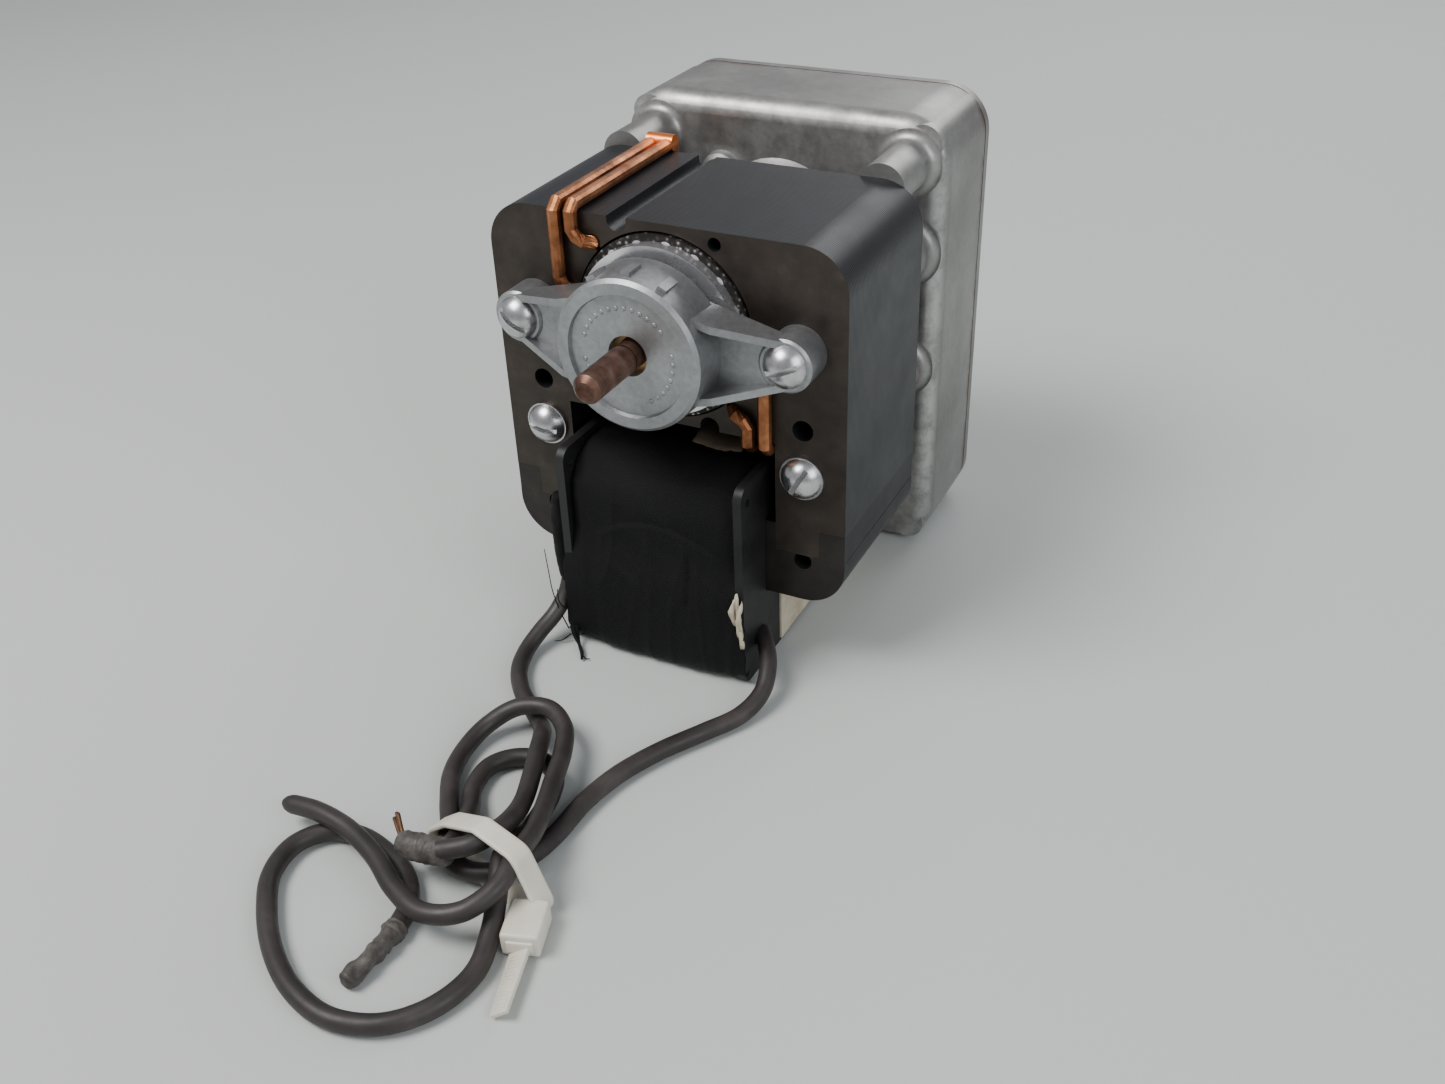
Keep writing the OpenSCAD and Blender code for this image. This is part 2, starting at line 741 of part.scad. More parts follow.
module cover_screws() {
    color("#a6a9ad") in_row_frame() for (at = cover_screws_at) difference() {
        turned(at) polygon([[0, cover_back - 0.1], [cover_screw_head_r - 0.2, cover_back - 0.1],
                            [cover_screw_r, cover_back - 2.1],
                            [cover_screw_r, rim_back - cover_screw_l + 1],
                            [0, rim_back - cover_screw_l + 1]]);
        translate([at[0], cover_back - 0.6, at[1]]) cube([8, 1.2, 1], center = true);
    }
}

// ---- gear train ----

// Polar points of one tooth flank, from the root to the tip: [radius, half tooth angle]
function inv_angle(base, r) = r > base ? tan(acos(base / r)) * 180 / PI - acos(base / r) : 0;
function flank(m, teeth, root, tip, steps = 5) =
    let (pitch = pitch_r(m, teeth), base = pitch * cos(20),
         half = 90 / teeth - backlash / 4 / pitch * 180 / PI + inv_angle(base, pitch),
         start = max(root, base))
    concat(root < base ? [[root, half]] : [],
           [for (i = [0 : steps]) let (r = start + (tip - start) * i / steps)
            [r, half - inv_angle(base, r)]]);

function polar(p, sign, a) = p[0] * [cos(a + sign * p[1]), sin(a + sign * p[1])];
function reversed(list) = [for (i = [len(list) - 1 : -1 : 0]) list[i]];

module gear_outline(m, teeth, root, tip, phase) {
    side = flank(m, teeth, root, tip);
    polygon([for (i = [0 : teeth - 1]) let (a = phase + i * 360 / teeth)
             each concat([for (p = side) polar(p, -1, a)],
                         [for (p = reversed(side)) polar(p, 1, a)])]);
}

// Direction from one axis to another, in X and Z
function heading(from, to) = atan2(to[1] - from[1], to[0] - from[0]);

// A pinion has a tooth on the line to the wheel that it drives, and the wheel has a gap there
module pinion_outline(m, from, to) {
    pitch = pitch_r(m, pinion_teeth);
    translate(from) gear_outline(m, pinion_teeth, pitch - 1.05 * m, pitch + m, heading(from, to));
}

module wheel_outline(m, teeth, from, to) {
    translate(to) gear_outline(m, teeth, pitch_r(m, teeth) - 1.25 * m, tip_r(m, teeth),
                               heading(to, from) + 180 / teeth);
}

function hub_r_of(m) = pitch_r(m, pinion_teeth) - 1.05 * m;

module motor_pinion() {
    color("#8b8d90") in_row_frame() plate(y_1 - 0.8, y_1 + width_1 + 0.3) difference() {
        pinion_outline(module_1, motor_at, first_at);
        circle(pinion_seat_r);
    }
}

module first_wheel() {
    color("#c8a878") in_row_frame() plate(y_1, y_1 + width_1) difference() {
        wheel_outline(module_1, wheel_1_teeth, motor_at, first_at);
        translate(first_at) circle(hub_r_of(module_2));
        for (a = [0 : 60 : 300]) translate(first_at) rotate(a) translate([13.5, 0]) circle(3.4);
    }
}

module first_pinion() {
    color("#8b8d90") in_row_frame() difference() {
        union() {
            rod(hub_r_of(module_2), y_1 - 0.5, y_1 + width_1 + eps, first_at);
            plate(y_1 + width_1, y_2 + width_2 + 0.5)
                pinion_outline(module_2, first_at, second_at);
        }
        rod(pin_r + running_gap, y_1 - 1, y_2 + width_2 + 1, first_at);
    }
}

module second_wheel() {
    color("#83868a") in_row_frame() plate(y_2, y_2 + width_2) difference() {
        wheel_outline(module_2, wheel_2_teeth, first_at, second_at);
        translate(second_at) circle(hub_r_of(module_3));
        for (a = [0 : 72 : 288]) translate(second_at) rotate(a) translate([13.2, 0]) circle(3);
    }
}

module second_pinion() {
    color("#8b8d90") in_row_frame() difference() {
        union() {
            rod(hub_r_of(module_3), y_2 - 0.1, y_2 + width_2 + eps, second_at);
            plate(y_2 + width_2, y_3 + width_3 + 0.1)
                pinion_outline(module_3, second_at, output_at);
        }
        rod(pin_r + running_gap, y_2 - 1, y_3 + width_3 + 1, second_at);
    }
}

key_w = 3;
key_up = [output_r - 1.4, output_r + 1.4];

module output_gear() {
    color("#83868a") in_row_frame() plate(y_3, y_3 + width_3) difference() {
        wheel_outline(module_3, wheel_3_teeth, second_at, output_at);
        translate(output_at) {
            circle(output_r);
            translate([-key_w / 2, 0]) square([key_w, key_up[1]]);
            for (a = [0 : 60 : 300]) rotate(a + 30) translate([14.8, 0]) circle(3);
        }
    }
}

module output_shaft() {
    journal_r = output_r - 1.35;
    step = box_inside + 3.2;
    groove_r_in = output_r - 0.7;
    color("#9a9da1") in_row_frame() difference() {
        turned(output_at) polygon([
            [0, box_inside - pin_end_depth + 0.3], [journal_r, box_inside - pin_end_depth + 0.3],
            [journal_r, step], [output_r, step], [output_r, y_3 - 1.1],
            [groove_r_in, y_3 - 1.1], [groove_r_in, y_3 - 0.1], [output_r, y_3 - 0.1],
            [output_r, boss_back + 0.6], [output_r - 0.5, boss_back + 0.6],
            [output_r - 0.5, boss_back + 1.4], [output_r, boss_back + 1.4],
            [output_r, output_tip - 0.8], [output_r - 0.8, output_tip], [0, output_tip]]);
        translate([-key_w / 2, y_3, output_at[1] + key_up[0]]) cube([key_w, width_3, 4]);
        translate([-output_r, output_tip - flat_l, output_at[1] + output_r - flat_depth])
            cube([2 * output_r, flat_l + 1, 2 * flat_depth]);
    }
}

module output_key() {
    color("#8b8d90") in_row_frame()
        translate([-key_w / 2, y_3, output_at[1] + key_up[0]])
            cube([key_w, width_3, key_up[1] - key_up[0]]);
}

// Retaining ring in the shaft's groove, in front of the output gear
module output_ring() {
    color("#55585c") in_row_frame()
        tube(output_r - 0.7, output_r + 1.6, y_3 - 1.05, y_3 - 0.15, output_at);
}

module output_washers() {
    color("#9fa2a6") in_row_frame() {
        tube(output_r - 1.25, output_r + 1.8, box_inside + 2.1, box_inside + 2.9, output_at);
        tube(output_r + 0.1, output_r + 2.2, y_3 + width_3 + 0.3, cover_front - 0.3, output_at);
    }
}

module output_front_bush() {
    color("#9a7b4f") in_row_frame() tube(output_r - 1.35 + running_gap, output_r + 0.65,
                                         box_inside - pin_end_depth, box_inside + 2, output_at);
}

module output_rear_bush() {
    color("#9a7b4f") in_row_frame() tube(output_r + running_gap, output_r + 2.5,
                                         cover_front, cover_back + 6, output_at);
}

// A wheel pin, seated in the front wall and in the cover, with a groove for its clip
module wheel_pin(at, clip_y) {
    groove = pin_r - 0.5;
    front = box_inside - pin_end_depth;
    back = cover_front + pin_end_depth;
    turned(at) polygon([[0, front], [pin_r, front], [pin_r, clip_y], [groove, clip_y],
                        [groove, clip_y + clip_t], [pin_r, clip_y + clip_t], [pin_r, back],
                        [0, back]]);
}

first_clip_y = y_2 + width_2 + 0.8;
second_clip_y = y_2 - 0.9;

module first_pin() { color("#a6a9ad") in_row_frame() wheel_pin(first_at, first_clip_y); }

module second_pin() { color("#a6a9ad") in_row_frame() wheel_pin(second_at, second_clip_y); }

module pin_clips() {
    color("#55585c") in_row_frame() {
        tube(pin_r - 0.5, pin_r + 1.7, first_clip_y, first_clip_y + clip_t, first_at);
        tube(pin_r - 0.5, pin_r + 1.7, second_clip_y, second_clip_y + clip_t, second_at);
    }
}

// Thrust washers on the wheel pins, at the front wall and at the cover
module gear_washers() {
    color("#c9b48a") in_row_frame() {
        tube(pin_r + 0.05, pin_r + 2.2, box_inside + pin_boss_h,
             box_inside + pin_boss_h + washer_t, first_at);
        tube(pin_r + 0.05, pin_r + 2.2, cover_front - pin_boss_h - washer_t,
             cover_front - pin_boss_h, second_at);
    }
}

// ---- leads ----

// Routes of the two leads and of the joint wire, on the surface that the motor stands on: the
// leads come out at the coil's two sides, and a cable tie holds their loops together.
lead_r = 2;
splice_r = 2.9;
// From the right cheek, round a turn in the tie, up over the left lead and back down to its cut end
right_route = [
    [22.6, -46, 9], [25.6, -50, 8.6], [28.4, -55, 7], [29.6, -61, 4.2], [27.8, -68, 2.4],
    [22.8, -76.5, 2.2], [17, -86, 2.2], [12.6, -96, 2.2], [10.4, -106, 2.2], [10, -116, 2.2],
    [9.4, -124, 3.2], [6.6, -130.6, 3.4], [0.2, -133.4, 3.4], [-6.4, -130.8, 3.4],
    [-10.2, -124.6, 3.2], [-15.2, -118, 2.4], [-19.6, -111, 2.2], [-21.8, -103, 2.2],
    [-20.8, -95.4, 3.6], [-16, -90, 6.2], [-9, -88.4, 7], [-2.6, -92.4, 6.9], [1.4, -99.6, 6.8],
    [4.4, -108, 7.2], [7.4, -116, 8], [10.2, -124.4, 9.4], [11.6, -132.4, 10.9], [12.2, -139.6, 10],
    [8.4, -146, 8], [1, -148.4, 6.8], [-7.4, -145.6, 6.6], [-16, -140.4, 6.6], [-25, -136.6, 6.6],
    [-34.5, -134.8, 6.4], [-44, -134.4, 5]];
// From the taped joint beside the coil, below the loop of the right lead, to the splice
left_route = [
    [-25.4, -51.45, 14], [-25.6, -53.2, 11], [-26.6, -57, 7.2], [-28.2, -62, 4.4],
    [-28.6, -68, 2.4], [-26, -75, 2.2], [-20.8, -81.4, 2.2], [-14.6, -86.2, 2.2],
    [-9.8, -90.6, 2.8], [-6.6, -95.4, 5.2], [-3.8, -101, 6.7], [-0.9, -108, 6.7], [1.8, -115, 7],
    [4, -121.4, 9.2], [4.6, -127.6, 11], [2.2, -133.2, 11], [-3.6, -136.2, 9.6]];
// From the splice, round the small loop and the front ring, to the taped end
joint_route = [
    [-3, -134.4, 8.4], [-4, -130, 7.6], [-6.2, -124.6, 5.6], [-9.4, -118.4, 3], [-13, -112.4, 2.2],
    [-13.8, -105.6, 2.2], [-10.8, -101, 2.2], [-5.4, -99, 2.2], [0, -101.4, 2.2], [3, -107.6, 2.2],
    [4, -114, 2.2], [4.8, -119.6, 3.4], [5.6, -125.4, 6.5], [7.4, -131.6, 7.7], [10.6, -138, 6],
    [13.2, -144.8, 3.2], [15.2, -153, 2.2], [13, -162.4, 2.2], [6.8, -169.4, 2.2],
    [-2.4, -172.2, 2.2], [-12, -170.2, 2.2], [-21.4, -164.8, 2.2], [-29.6, -157.2, 2.2],
    [-35.4, -149, 2.2], [-36.4, -141, 2.2], [-32.4, -135.2, 2.2], [-25.4, -133.6, 2.2],
    [-17.4, -135.4, 2.2], [-10.4, -139, 2.2], [-5.8, -144.4, 2.2], [-4.2, -150, 2.3]];
// The taped splice, and the bare stub of its wires
splice_route = [
    [-1.6, -135.2, 8.9], [-7.4, -135.8, 8.2], [-13, -136, 7.6]];
stub_route = [[-12.5, -135.6, 8], [-15, -133.4, 8.2], [-18, -130.6, 8.4]];
// The taped end of the joint wire
end_route = [
    [-4.2, -150, 2.3], [-4, -156.4, 2.4], [-4.8, -165, 2.4]];

// A lead's start follows the coil if the coil's size changes
function from_coil(route, side = 0) = [for (i = [0 : len(route) - 1])
    route[i] + [side * (cheek_x - 23) * max(0, 1 - i / 5), 55.85 - coil_reach - mid_y, 0]];

module lead_right() { color("#2b2625") swept(from_coil(right_route, 1), lead_r, [0, 0, 1]); }

module lead_left() { color("#2b2625") swept(from_coil(left_route, -1), lead_r, [0, 0, 1]); }

module lead_joint() { color("#2b2625") swept(from_coil(joint_route), lead_r, [0, 0, 1]); }

module lead_splice() {
    color("#4a4542") {
        swept(from_coil(splice_route), splice_r, [0, 0, 1]);
        swept(from_coil(stub_route), 0.7, [0, 0, 1]);
    }
}

module lead_end() { color("#4a4542") swept(from_coil(end_route), 2.3, [0, 0, 1]); }

// The strap goes round all the strands, and its head and tail lie at the right
module cable_tie() {
    strap_w = 4.6;
    strap_t = 1.1;
    strands = [[-11.3, 3.4], [-6.6, 7.5], [1.7, 11.3], [10.2, 10.9], [14.4, 3.4]];
    module strap_outline(grow) {
        hull() for (s = strands) translate(s) circle(2.3 + grow, $fn = 32);
    }
    color("#d9d4c4") from_strap() {
        translate([0, strap_w / 2, 0]) rotate([90, 0, 0]) linear_extrude(height = strap_w)
            difference() {
                strap_outline(strap_t);
                strap_outline(0);
            }
        translate([18.4, -5.6, 0]) rotate(33) {
            translate([-3.7, -4.6, 0.3]) cube([7.4, 9.6, 5.4]);
            translate([0, -11.5, 1.8]) rotate([0, -31, 0])
                cube([strap_w, 15, strap_t], center = true);
        }
    }
}

module from_strap() {
    translate([2, 55.85 - coil_reach - mid_y - 130.5, 0]) rotate(-15) children();
}

stator_core();
coil_core();
coil_bobbin();
coil_winding();
coil_paper();
coil_tape();
paper_flap();
window_paper();
splice_wrap();
shading_rings_upper();
shading_rings_lower();
rotor_core();
rotor_cage();
motor_shaft();
rotor_spacers();
motor_pinion();
front_bracket();
front_bush();
oil_felt();
felt_retainer();
bracket_screws();
stator_screws();
lock_washers();
gearbox_housing();
rear_bush();
gearbox_gasket();
gearbox_cover();
cover_screws();
first_pin();
second_pin();
pin_clips();
gear_washers();
first_wheel();
first_pinion();
second_wheel();
second_pinion();
output_gear();
output_shaft();
output_key();
output_ring();
output_washers();
output_front_bush();
output_rear_bush();
lead_right();
lead_left();
lead_joint();
lead_splice();
lead_end();
cable_tie();
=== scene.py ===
# Roller shutter motor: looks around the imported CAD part. Metres, the part's own frame, +Z up.
import math
import random

import bmesh
import bpy
from mathutils import Matrix, Vector, noise


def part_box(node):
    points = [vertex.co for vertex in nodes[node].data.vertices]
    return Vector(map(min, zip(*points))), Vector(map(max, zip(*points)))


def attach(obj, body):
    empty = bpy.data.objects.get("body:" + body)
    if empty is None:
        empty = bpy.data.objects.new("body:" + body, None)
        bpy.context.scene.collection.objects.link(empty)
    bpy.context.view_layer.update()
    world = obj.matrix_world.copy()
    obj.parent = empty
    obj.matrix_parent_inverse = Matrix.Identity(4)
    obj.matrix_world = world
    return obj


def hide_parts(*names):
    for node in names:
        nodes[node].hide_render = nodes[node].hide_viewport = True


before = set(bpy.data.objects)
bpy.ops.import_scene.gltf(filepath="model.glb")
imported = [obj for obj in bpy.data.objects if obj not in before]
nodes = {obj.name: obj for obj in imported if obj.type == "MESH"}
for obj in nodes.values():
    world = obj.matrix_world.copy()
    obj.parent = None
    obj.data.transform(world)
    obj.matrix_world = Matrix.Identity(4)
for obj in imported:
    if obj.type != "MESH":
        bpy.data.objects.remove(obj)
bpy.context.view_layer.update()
MM = 0.001
rng = random.Random(7)


# ---- materials ----

class Shade:
    """A small helper around one node material."""

    def __init__(self, name):
        self.mat = bpy.data.materials.new(name)
        self.mat.use_nodes = True
        self.t = self.mat.node_tree
        self.bsdf = next(n for n in self.t.nodes if n.type == "BSDF_PRINCIPLED")
        self.coord = self.t.nodes.new("ShaderNodeTexCoord").outputs["Object"]

    def add(self, kind, **values):
        n = self.t.nodes.new(kind)
        for k, v in values.items():
            n.inputs[k].default_value = v
        return n

    def link(self, a, b):
        self.t.links.new(a, b)

    def feed(self, socket, value):
        if isinstance(value, bpy.types.NodeSocket):
            self.link(value, socket)
        else:
            socket.default_value = value

    def set(self, **values):
        for k, v in values.items():
            self.bsdf.inputs[k.replace("_", " ")].default_value = v
        return self

    def math(self, op, a, b=0.0):
        n = self.t.nodes.new("ShaderNodeMath")
        n.operation = op
        for i, v in enumerate((a, b)):
            self.feed(n.inputs[i], v)
        return n.outputs[0]

    def blend(self, a, b, share):
        """The value a with the share given of b, as plain numbers."""
        return self.math("ADD", self.math("MULTIPLY", a, 1 - share), self.math("MULTIPLY", b, share))

    def noise(self, scale, detail=3.0, rough=0.5, stretch=(1, 1, 1)):
        n = self.add("ShaderNodeTexNoise", Scale=scale, Detail=detail, Roughness=rough)
        self.link(self.mapped(stretch), n.inputs["Vector"])
        return n.outputs["Fac"]

    def voronoi(self, scale):
        n = self.add("ShaderNodeTexVoronoi", Scale=scale)
        self.link(self.coord, n.inputs["Vector"])
        return n.outputs["Distance"]

    def wave(self, value, pitch):
        """A sine with the pitch given in metres."""
        return self.math("SINE", self.math("MULTIPLY", value, 2 * math.pi / pitch))

    def mapped(self, stretch):
        if tuple(stretch) == (1, 1, 1):
            return self.coord
        m = self.add("ShaderNodeMapping")
        m.inputs["Scale"].default_value = stretch
        self.link(self.coord, m.inputs["Vector"])
        return m.outputs[0]

    def axis(self, name):
        s = self.t.nodes.new("ShaderNodeSeparateXYZ")
        self.link(self.coord, s.inputs[0])
        return s.outputs[name]

    def normal(self, name):
        g = self.t.nodes.new("ShaderNodeNewGeometry")
        s = self.t.nodes.new("ShaderNodeSeparateXYZ")
        self.link(g.outputs["True Normal"], s.inputs[0])
        return s.outputs[name]

    def ramp(self, value, *stops):
        r = self.t.nodes.new("ShaderNodeValToRGB")
        e = r.color_ramp.elements
        while len(e) < len(stops):
            e.new(0.5)
        for i, (at, colour) in enumerate(stops):
            e[i].position = at
            e[i].color = (colour, colour, colour, 1) if isinstance(colour, float) else (*colour, 1)
        self.link(value, r.inputs[0])
        return r.outputs[0]

    def span(self, value, lo, hi, to_lo=0.0, to_hi=1.0):
        m = self.t.nodes.new("ShaderNodeMapRange")
        for i, v in enumerate((value, lo, hi, to_lo, to_hi)):
            self.feed(m.inputs[i], v)
        return m.outputs[0]

    def mix(self, factor, a, b):
        m = self.t.nodes.new("ShaderNodeMix")
        m.data_type = "RGBA"
        self.feed(m.inputs["Factor"], factor)
        for socket, v in ((m.inputs["A"], a), (m.inputs["B"], b)):
            self.feed(socket, v if isinstance(v, bpy.types.NodeSocket) else (*v, 1))
        return m.outputs["Result"]

    def colour(self, value):
        socket = self.bsdf.inputs["Base Color"]
        self.feed(socket, value if isinstance(value, bpy.types.NodeSocket) else (*value, 1))
        return self

    def rough(self, value):
        self.feed(self.bsdf.inputs["Roughness"], value)
        return self

    def bump(self, height, strength=0.5, distance=0.0002):
        n = self.t.nodes.new("ShaderNodeBump")
        n.inputs["Strength"].default_value = strength
        n.inputs["Distance"].default_value = distance
        self.link(height, n.inputs["Height"])
        last = self.bsdf.inputs["Normal"].links
        if last:
            self.link(last[0].from_socket, n.inputs["Normal"])
        self.link(n.outputs[0], self.bsdf.inputs["Normal"])
        return self


def paint(node, shade):
    for slot in nodes[node].material_slots:
        slot.material = shade.mat


def tinted(colour, factor):
    return [c * factor for c in colour]


def box(node):
    lo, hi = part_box(node)
    return Vector(lo), Vector(hi)


SHEET_PITCH = 0.00065  # one lamination sheet
WINDING_PITCH = 0.00045
WARP_PITCH, WEFT_PITCH = 0.00062, 0.0008


# Lamination stack: brown-black varnish on the punched faces, charcoal paint on the sheet edges
def lamination(name, face, side, side_rough):
    s = Shade(name)
    flat = s.math("POWER", s.math("ABSOLUTE", s.normal("Y")), 6.0)
    sheet = s.wave(s.axis("Y"), SHEET_PITCH)
    drift = s.noise(60, 4, 0.6)
    streak = s.noise(320, 3, 0.6, stretch=(1, 0.06, 1))
    front = s.ramp(s.noise(140, 6, 0.65), (0.3, tinted(face, 0.62)), (0.6, face), (0.78, tinted(face, 1.5)))
    edge = s.ramp(s.blend(drift, streak, 0.3), (0.35, tinted(side, 0.75)), (0.62, side),
                  (0.8, tinted(side, 1.35)))
    s.colour(s.mix(flat, edge, front))
    s.rough(s.mix(flat, s.ramp(drift, (0.3, side_rough), (0.7, side_rough + 0.14)),
                  s.ramp(s.noise(220, 5, 0.6), (0.3, 0.3), (0.7, 0.48))))
    s.set(Metallic=0.55)
    lines = s.math("MULTIPLY", sheet, s.math("SUBTRACT", 1.0, flat))
    s.bump(lines, 0.22, 0.00006)
    s.bump(s.noise(900, 3, 0.6), 0.25, 0.00005)
    return s


stack = lamination("stack_varnish", (0.050, 0.040, 0.033), (0.026, 0.028, 0.032), 0.36)
core = lamination("core_varnish", (0.036, 0.031, 0.028), (0.02, 0.021, 0.023), 0.4)
paint("stator_core", stack)
paint("coil_core", core)


def cast(name, base, low, high, grain):
    s = Shade(name)
    fine = s.noise(grain, 4, 0.65)
    s.colour(s.ramp(s.blend(s.noise(38, 5, 0.6), fine, 0.35), (0.3, low), (0.52, base), (0.75, high)))
    s.rough(s.ramp(s.noise(90, 4, 0.6), (0.3, 0.34), (0.7, 0.52)))
    s.set(Metallic=0.85)
    s.bump(fine, 0.28, 0.00012)
    return s


bracket_alloy = cast("bracket_alloy", (0.34, 0.35, 0.36), (0.22, 0.22, 0.225), (0.48, 0.49, 0.50), 700)
paint("front_bracket", bracket_alloy)


# Gearbox: satin grey, with a painted highlight along the rounded front edge, broken up by noise, and rust
# along the rear rim
def gearbox_alloy():
    s = Shade("gearbox_alloy")
    y = s.axis("Y")
    rear_y = box("gearbox_housing")[1].y
    edge_y = rear_y - 0.0281 + 0.0012  # the middle of the front edge's rounding
    fine = s.noise(560, 4, 0.6)
    base = s.ramp(s.blend(s.noise(26, 5, 0.6), fine, 0.3), (0.3, (0.20, 0.195, 0.185)),
                  (0.5, (0.27, 0.268, 0.26)), (0.72, (0.36, 0.36, 0.355)))
    off_edge = s.math("ABSOLUTE", s.math("SUBTRACT", y, edge_y))
    edge = s.math("SUBTRACT", 1.0, s.span(off_edge, 0.0003, 0.0026))
    # painted highlight: a bright band along the middle of the front edge's rounding, broken up by noise
    edge_highlight = s.math("MULTIPLY", edge, s.ramp(s.noise(180, 5, 0.7), (0.38, 0.15), (0.6, 1.0)))
    highlit_base = s.mix(s.math("MULTIPLY", edge_highlight, 0.75), base, (0.56, 0.56, 0.55))
    rim = s.span(y, rear_y - 0.0022, rear_y - 0.0002)
    rust = s.math("MULTIPLY", rim, s.ramp(s.noise(110, 6, 0.7), (0.42, 0.0), (0.6, 1.0)))
    s.colour(s.mix(s.math("MULTIPLY", rust, 0.7), highlit_base, (0.13, 0.055, 0.025)))
    s.rough(s.ramp(s.noise(70, 4, 0.6), (0.3, 0.36), (0.7, 0.55)))
    s.set(Metallic=0.8)
    s.bump(fine, 0.3, 0.00012)
    return s


paint("gearbox_housing", gearbox_alloy())
cover = cast("cover_alloy", (0.27, 0.268, 0.26), (0.18, 0.175, 0.165), (0.37, 0.37, 0.36), 520)
paint("gearbox_cover", cover)


# Copper rods: dull brown-orange, bright orange at the braze
def copper_rod():
    s = Shade("copper_rod")
    old = s.ramp(s.noise(130, 6, 0.7), (0.32, (0.11, 0.042, 0.02)), (0.5, (0.30, 0.115, 0.048)),
                 (0.7, (0.50, 0.215, 0.10)))
    high = box("shading_rings_upper")[1]
    at_end = s.span(s.axis("Y"), high.y - 0.0105, high.y - 0.0065)
    on_top = s.span(s.axis("Z"), high.z - 0.0035, high.z - 0.002)
    s.colour(s.mix(s.math("MULTIPLY", at_end, on_top), old, (0.80, 0.25, 0.07)))
    s.rough(s.ramp(s.noise(240, 4, 0.6), (0.3, 0.3), (0.7, 0.5)))
    s.set(Metallic=0.9)
    s.bump(s.noise(600, 4, 0.6), 0.3, 0.0001)
    return s


copper = copper_rod()
paint("shading_rings_upper", copper)
paint("shading_rings_lower", copper)


def steel(name, base, rough, spots=0.0, spot_colour=None, lines=(1, 1, 1), metal=1.0, bump=0.15):
    s = Shade(name)
    grain = s.noise(500, 4, 0.6, stretch=lines)
    tone = s.ramp(grain, (0.3, tinted(base, 0.8)), (0.7, tinted(base, 1.15)))
    if spots:
        spotted = s.ramp(s.noise(170, 6, 0.7), (0.5, 0.0), (0.64, 1.0))
        tone = s.mix(s.math("MULTIPLY", spotted, spots), tone, spot_colour)
    s.colour(tone)
    s.rough(s.ramp(s.noise(160, 4, 0.6), (0.3, rough * 0.8), (0.7, rough * 1.25)))
    s.set(Metallic=metal)
    s.bump(grain, bump, 0.00006)
    return s


plated = steel("plated_steel", (0.58, 0.58, 0.59), 0.3, 0.2, (0.30, 0.29, 0.27))
gears = steel("gear_steel", (0.42, 0.42, 0.43), 0.34, 0.3, (0.12, 0.09, 0.06))
black_spring = steel("black_spring", (0.07, 0.07, 0.075), 0.38)
bronze = steel("bronze_bush", (0.42, 0.27, 0.13), 0.42, 0.3, (0.12, 0.07, 0.03))
ground = steel("ground_shaft", (0.52, 0.52, 0.53), 0.24, 0.2, (0.16, 0.13, 0.1), lines=(0.2, 1, 0.2))
for n in ("bracket_screws", "stator_screws", "lock_washers", "cover_screws", "output_washers"):
    paint(n, plated)
for n in ("rotor_spacers", "motor_pinion", "first_pinion", "second_wheel", "second_pinion", "output_gear",
          "output_key", "felt_retainer", "first_pin", "second_pin"):
    paint(n, gears)
for n in ("pin_clips", "output_ring"):
    paint(n, black_spring)
for n in ("front_bush", "rear_bush", "output_front_bush", "output_rear_bush"):
    paint(n, bronze)
paint("output_shaft", ground)


# The motor shaft is stained brown, in faint rings
def stained_shaft():
    s = Shade("stained_shaft")
    rings = s.noise(420, 4, 0.6, stretch=(0.15, 1, 0.15))
    tone = s.ramp(s.noise(150, 6, 0.7), (0.3, (0.055, 0.026, 0.018)), (0.5, (0.145, 0.075, 0.053)),
                  (0.72, (0.27, 0.17, 0.13)))
    pale = s.math("MULTIPLY", s.ramp(rings, (0.45, 0.0), (0.7, 1.0)), 0.35)
    s.colour(s.mix(pale, tone, (0.30, 0.21, 0.17)))
    s.rough(s.ramp(s.noise(260, 4, 0.6), (0.3, 0.36), (0.7, 0.58)))
    s.set(Metallic=0.8)
    s.bump(rings, 0.3, 0.00008)
    return s


paint("motor_shaft", stained_shaft())

# Rotor: bright cast end rings, dark speckled core
cage = steel("cage_alloy", (0.80, 0.80, 0.82), 0.26, lines=(0.3, 1, 0.3), metal=0.9, bump=0.03)
paint("rotor_cage", cage)


def speckled_core():
    s = Shade("rotor_core")
    speck = s.voronoi(850)
    s.colour(s.ramp(speck, (0.16, (0.36, 0.34, 0.32)), (0.3, (0.06, 0.055, 0.05)),
                    (0.6, (0.02, 0.018, 0.016))))
    s.rough(s.ramp(speck, (0.2, 0.3), (0.5, 0.6)))
    s.set(Metallic=0.6)
    s.bump(speck, 0.5, 0.0002)
    return s


paint("rotor_core", speckled_core())


def bobbin_plastic():
    s = Shade("bobbin_plastic")
    s.colour(s.ramp(s.noise(60, 4, 0.6), (0.35, (0.005, 0.005, 0.0055)), (0.65, (0.011, 0.011, 0.012))))
    s.rough(s.ramp(s.noise(120, 4, 0.6), (0.3, 0.42), (0.7, 0.6)))
    s.bump(s.noise(1400, 3, 0.6), 0.2, 0.00005)
    return s


paint("coil_bobbin", bobbin_plastic())


def paper(name, base, stain):
    s = Shade(name)
    fibre = s.noise(800, 5, 0.7, stretch=(1, 0.3, 1))
    tone = s.ramp(fibre, (0.3, tinted(base, 0.85)), (0.7, base))
    stained = s.math("MULTIPLY", s.ramp(s.noise(90, 6, 0.7), (0.45, 0.0), (0.68, 1.0)), 0.55)
    s.colour(s.mix(stained, tone, stain))
    s.rough(0.85)
    s.bump(fibre, 0.4, 0.0001)
    return s


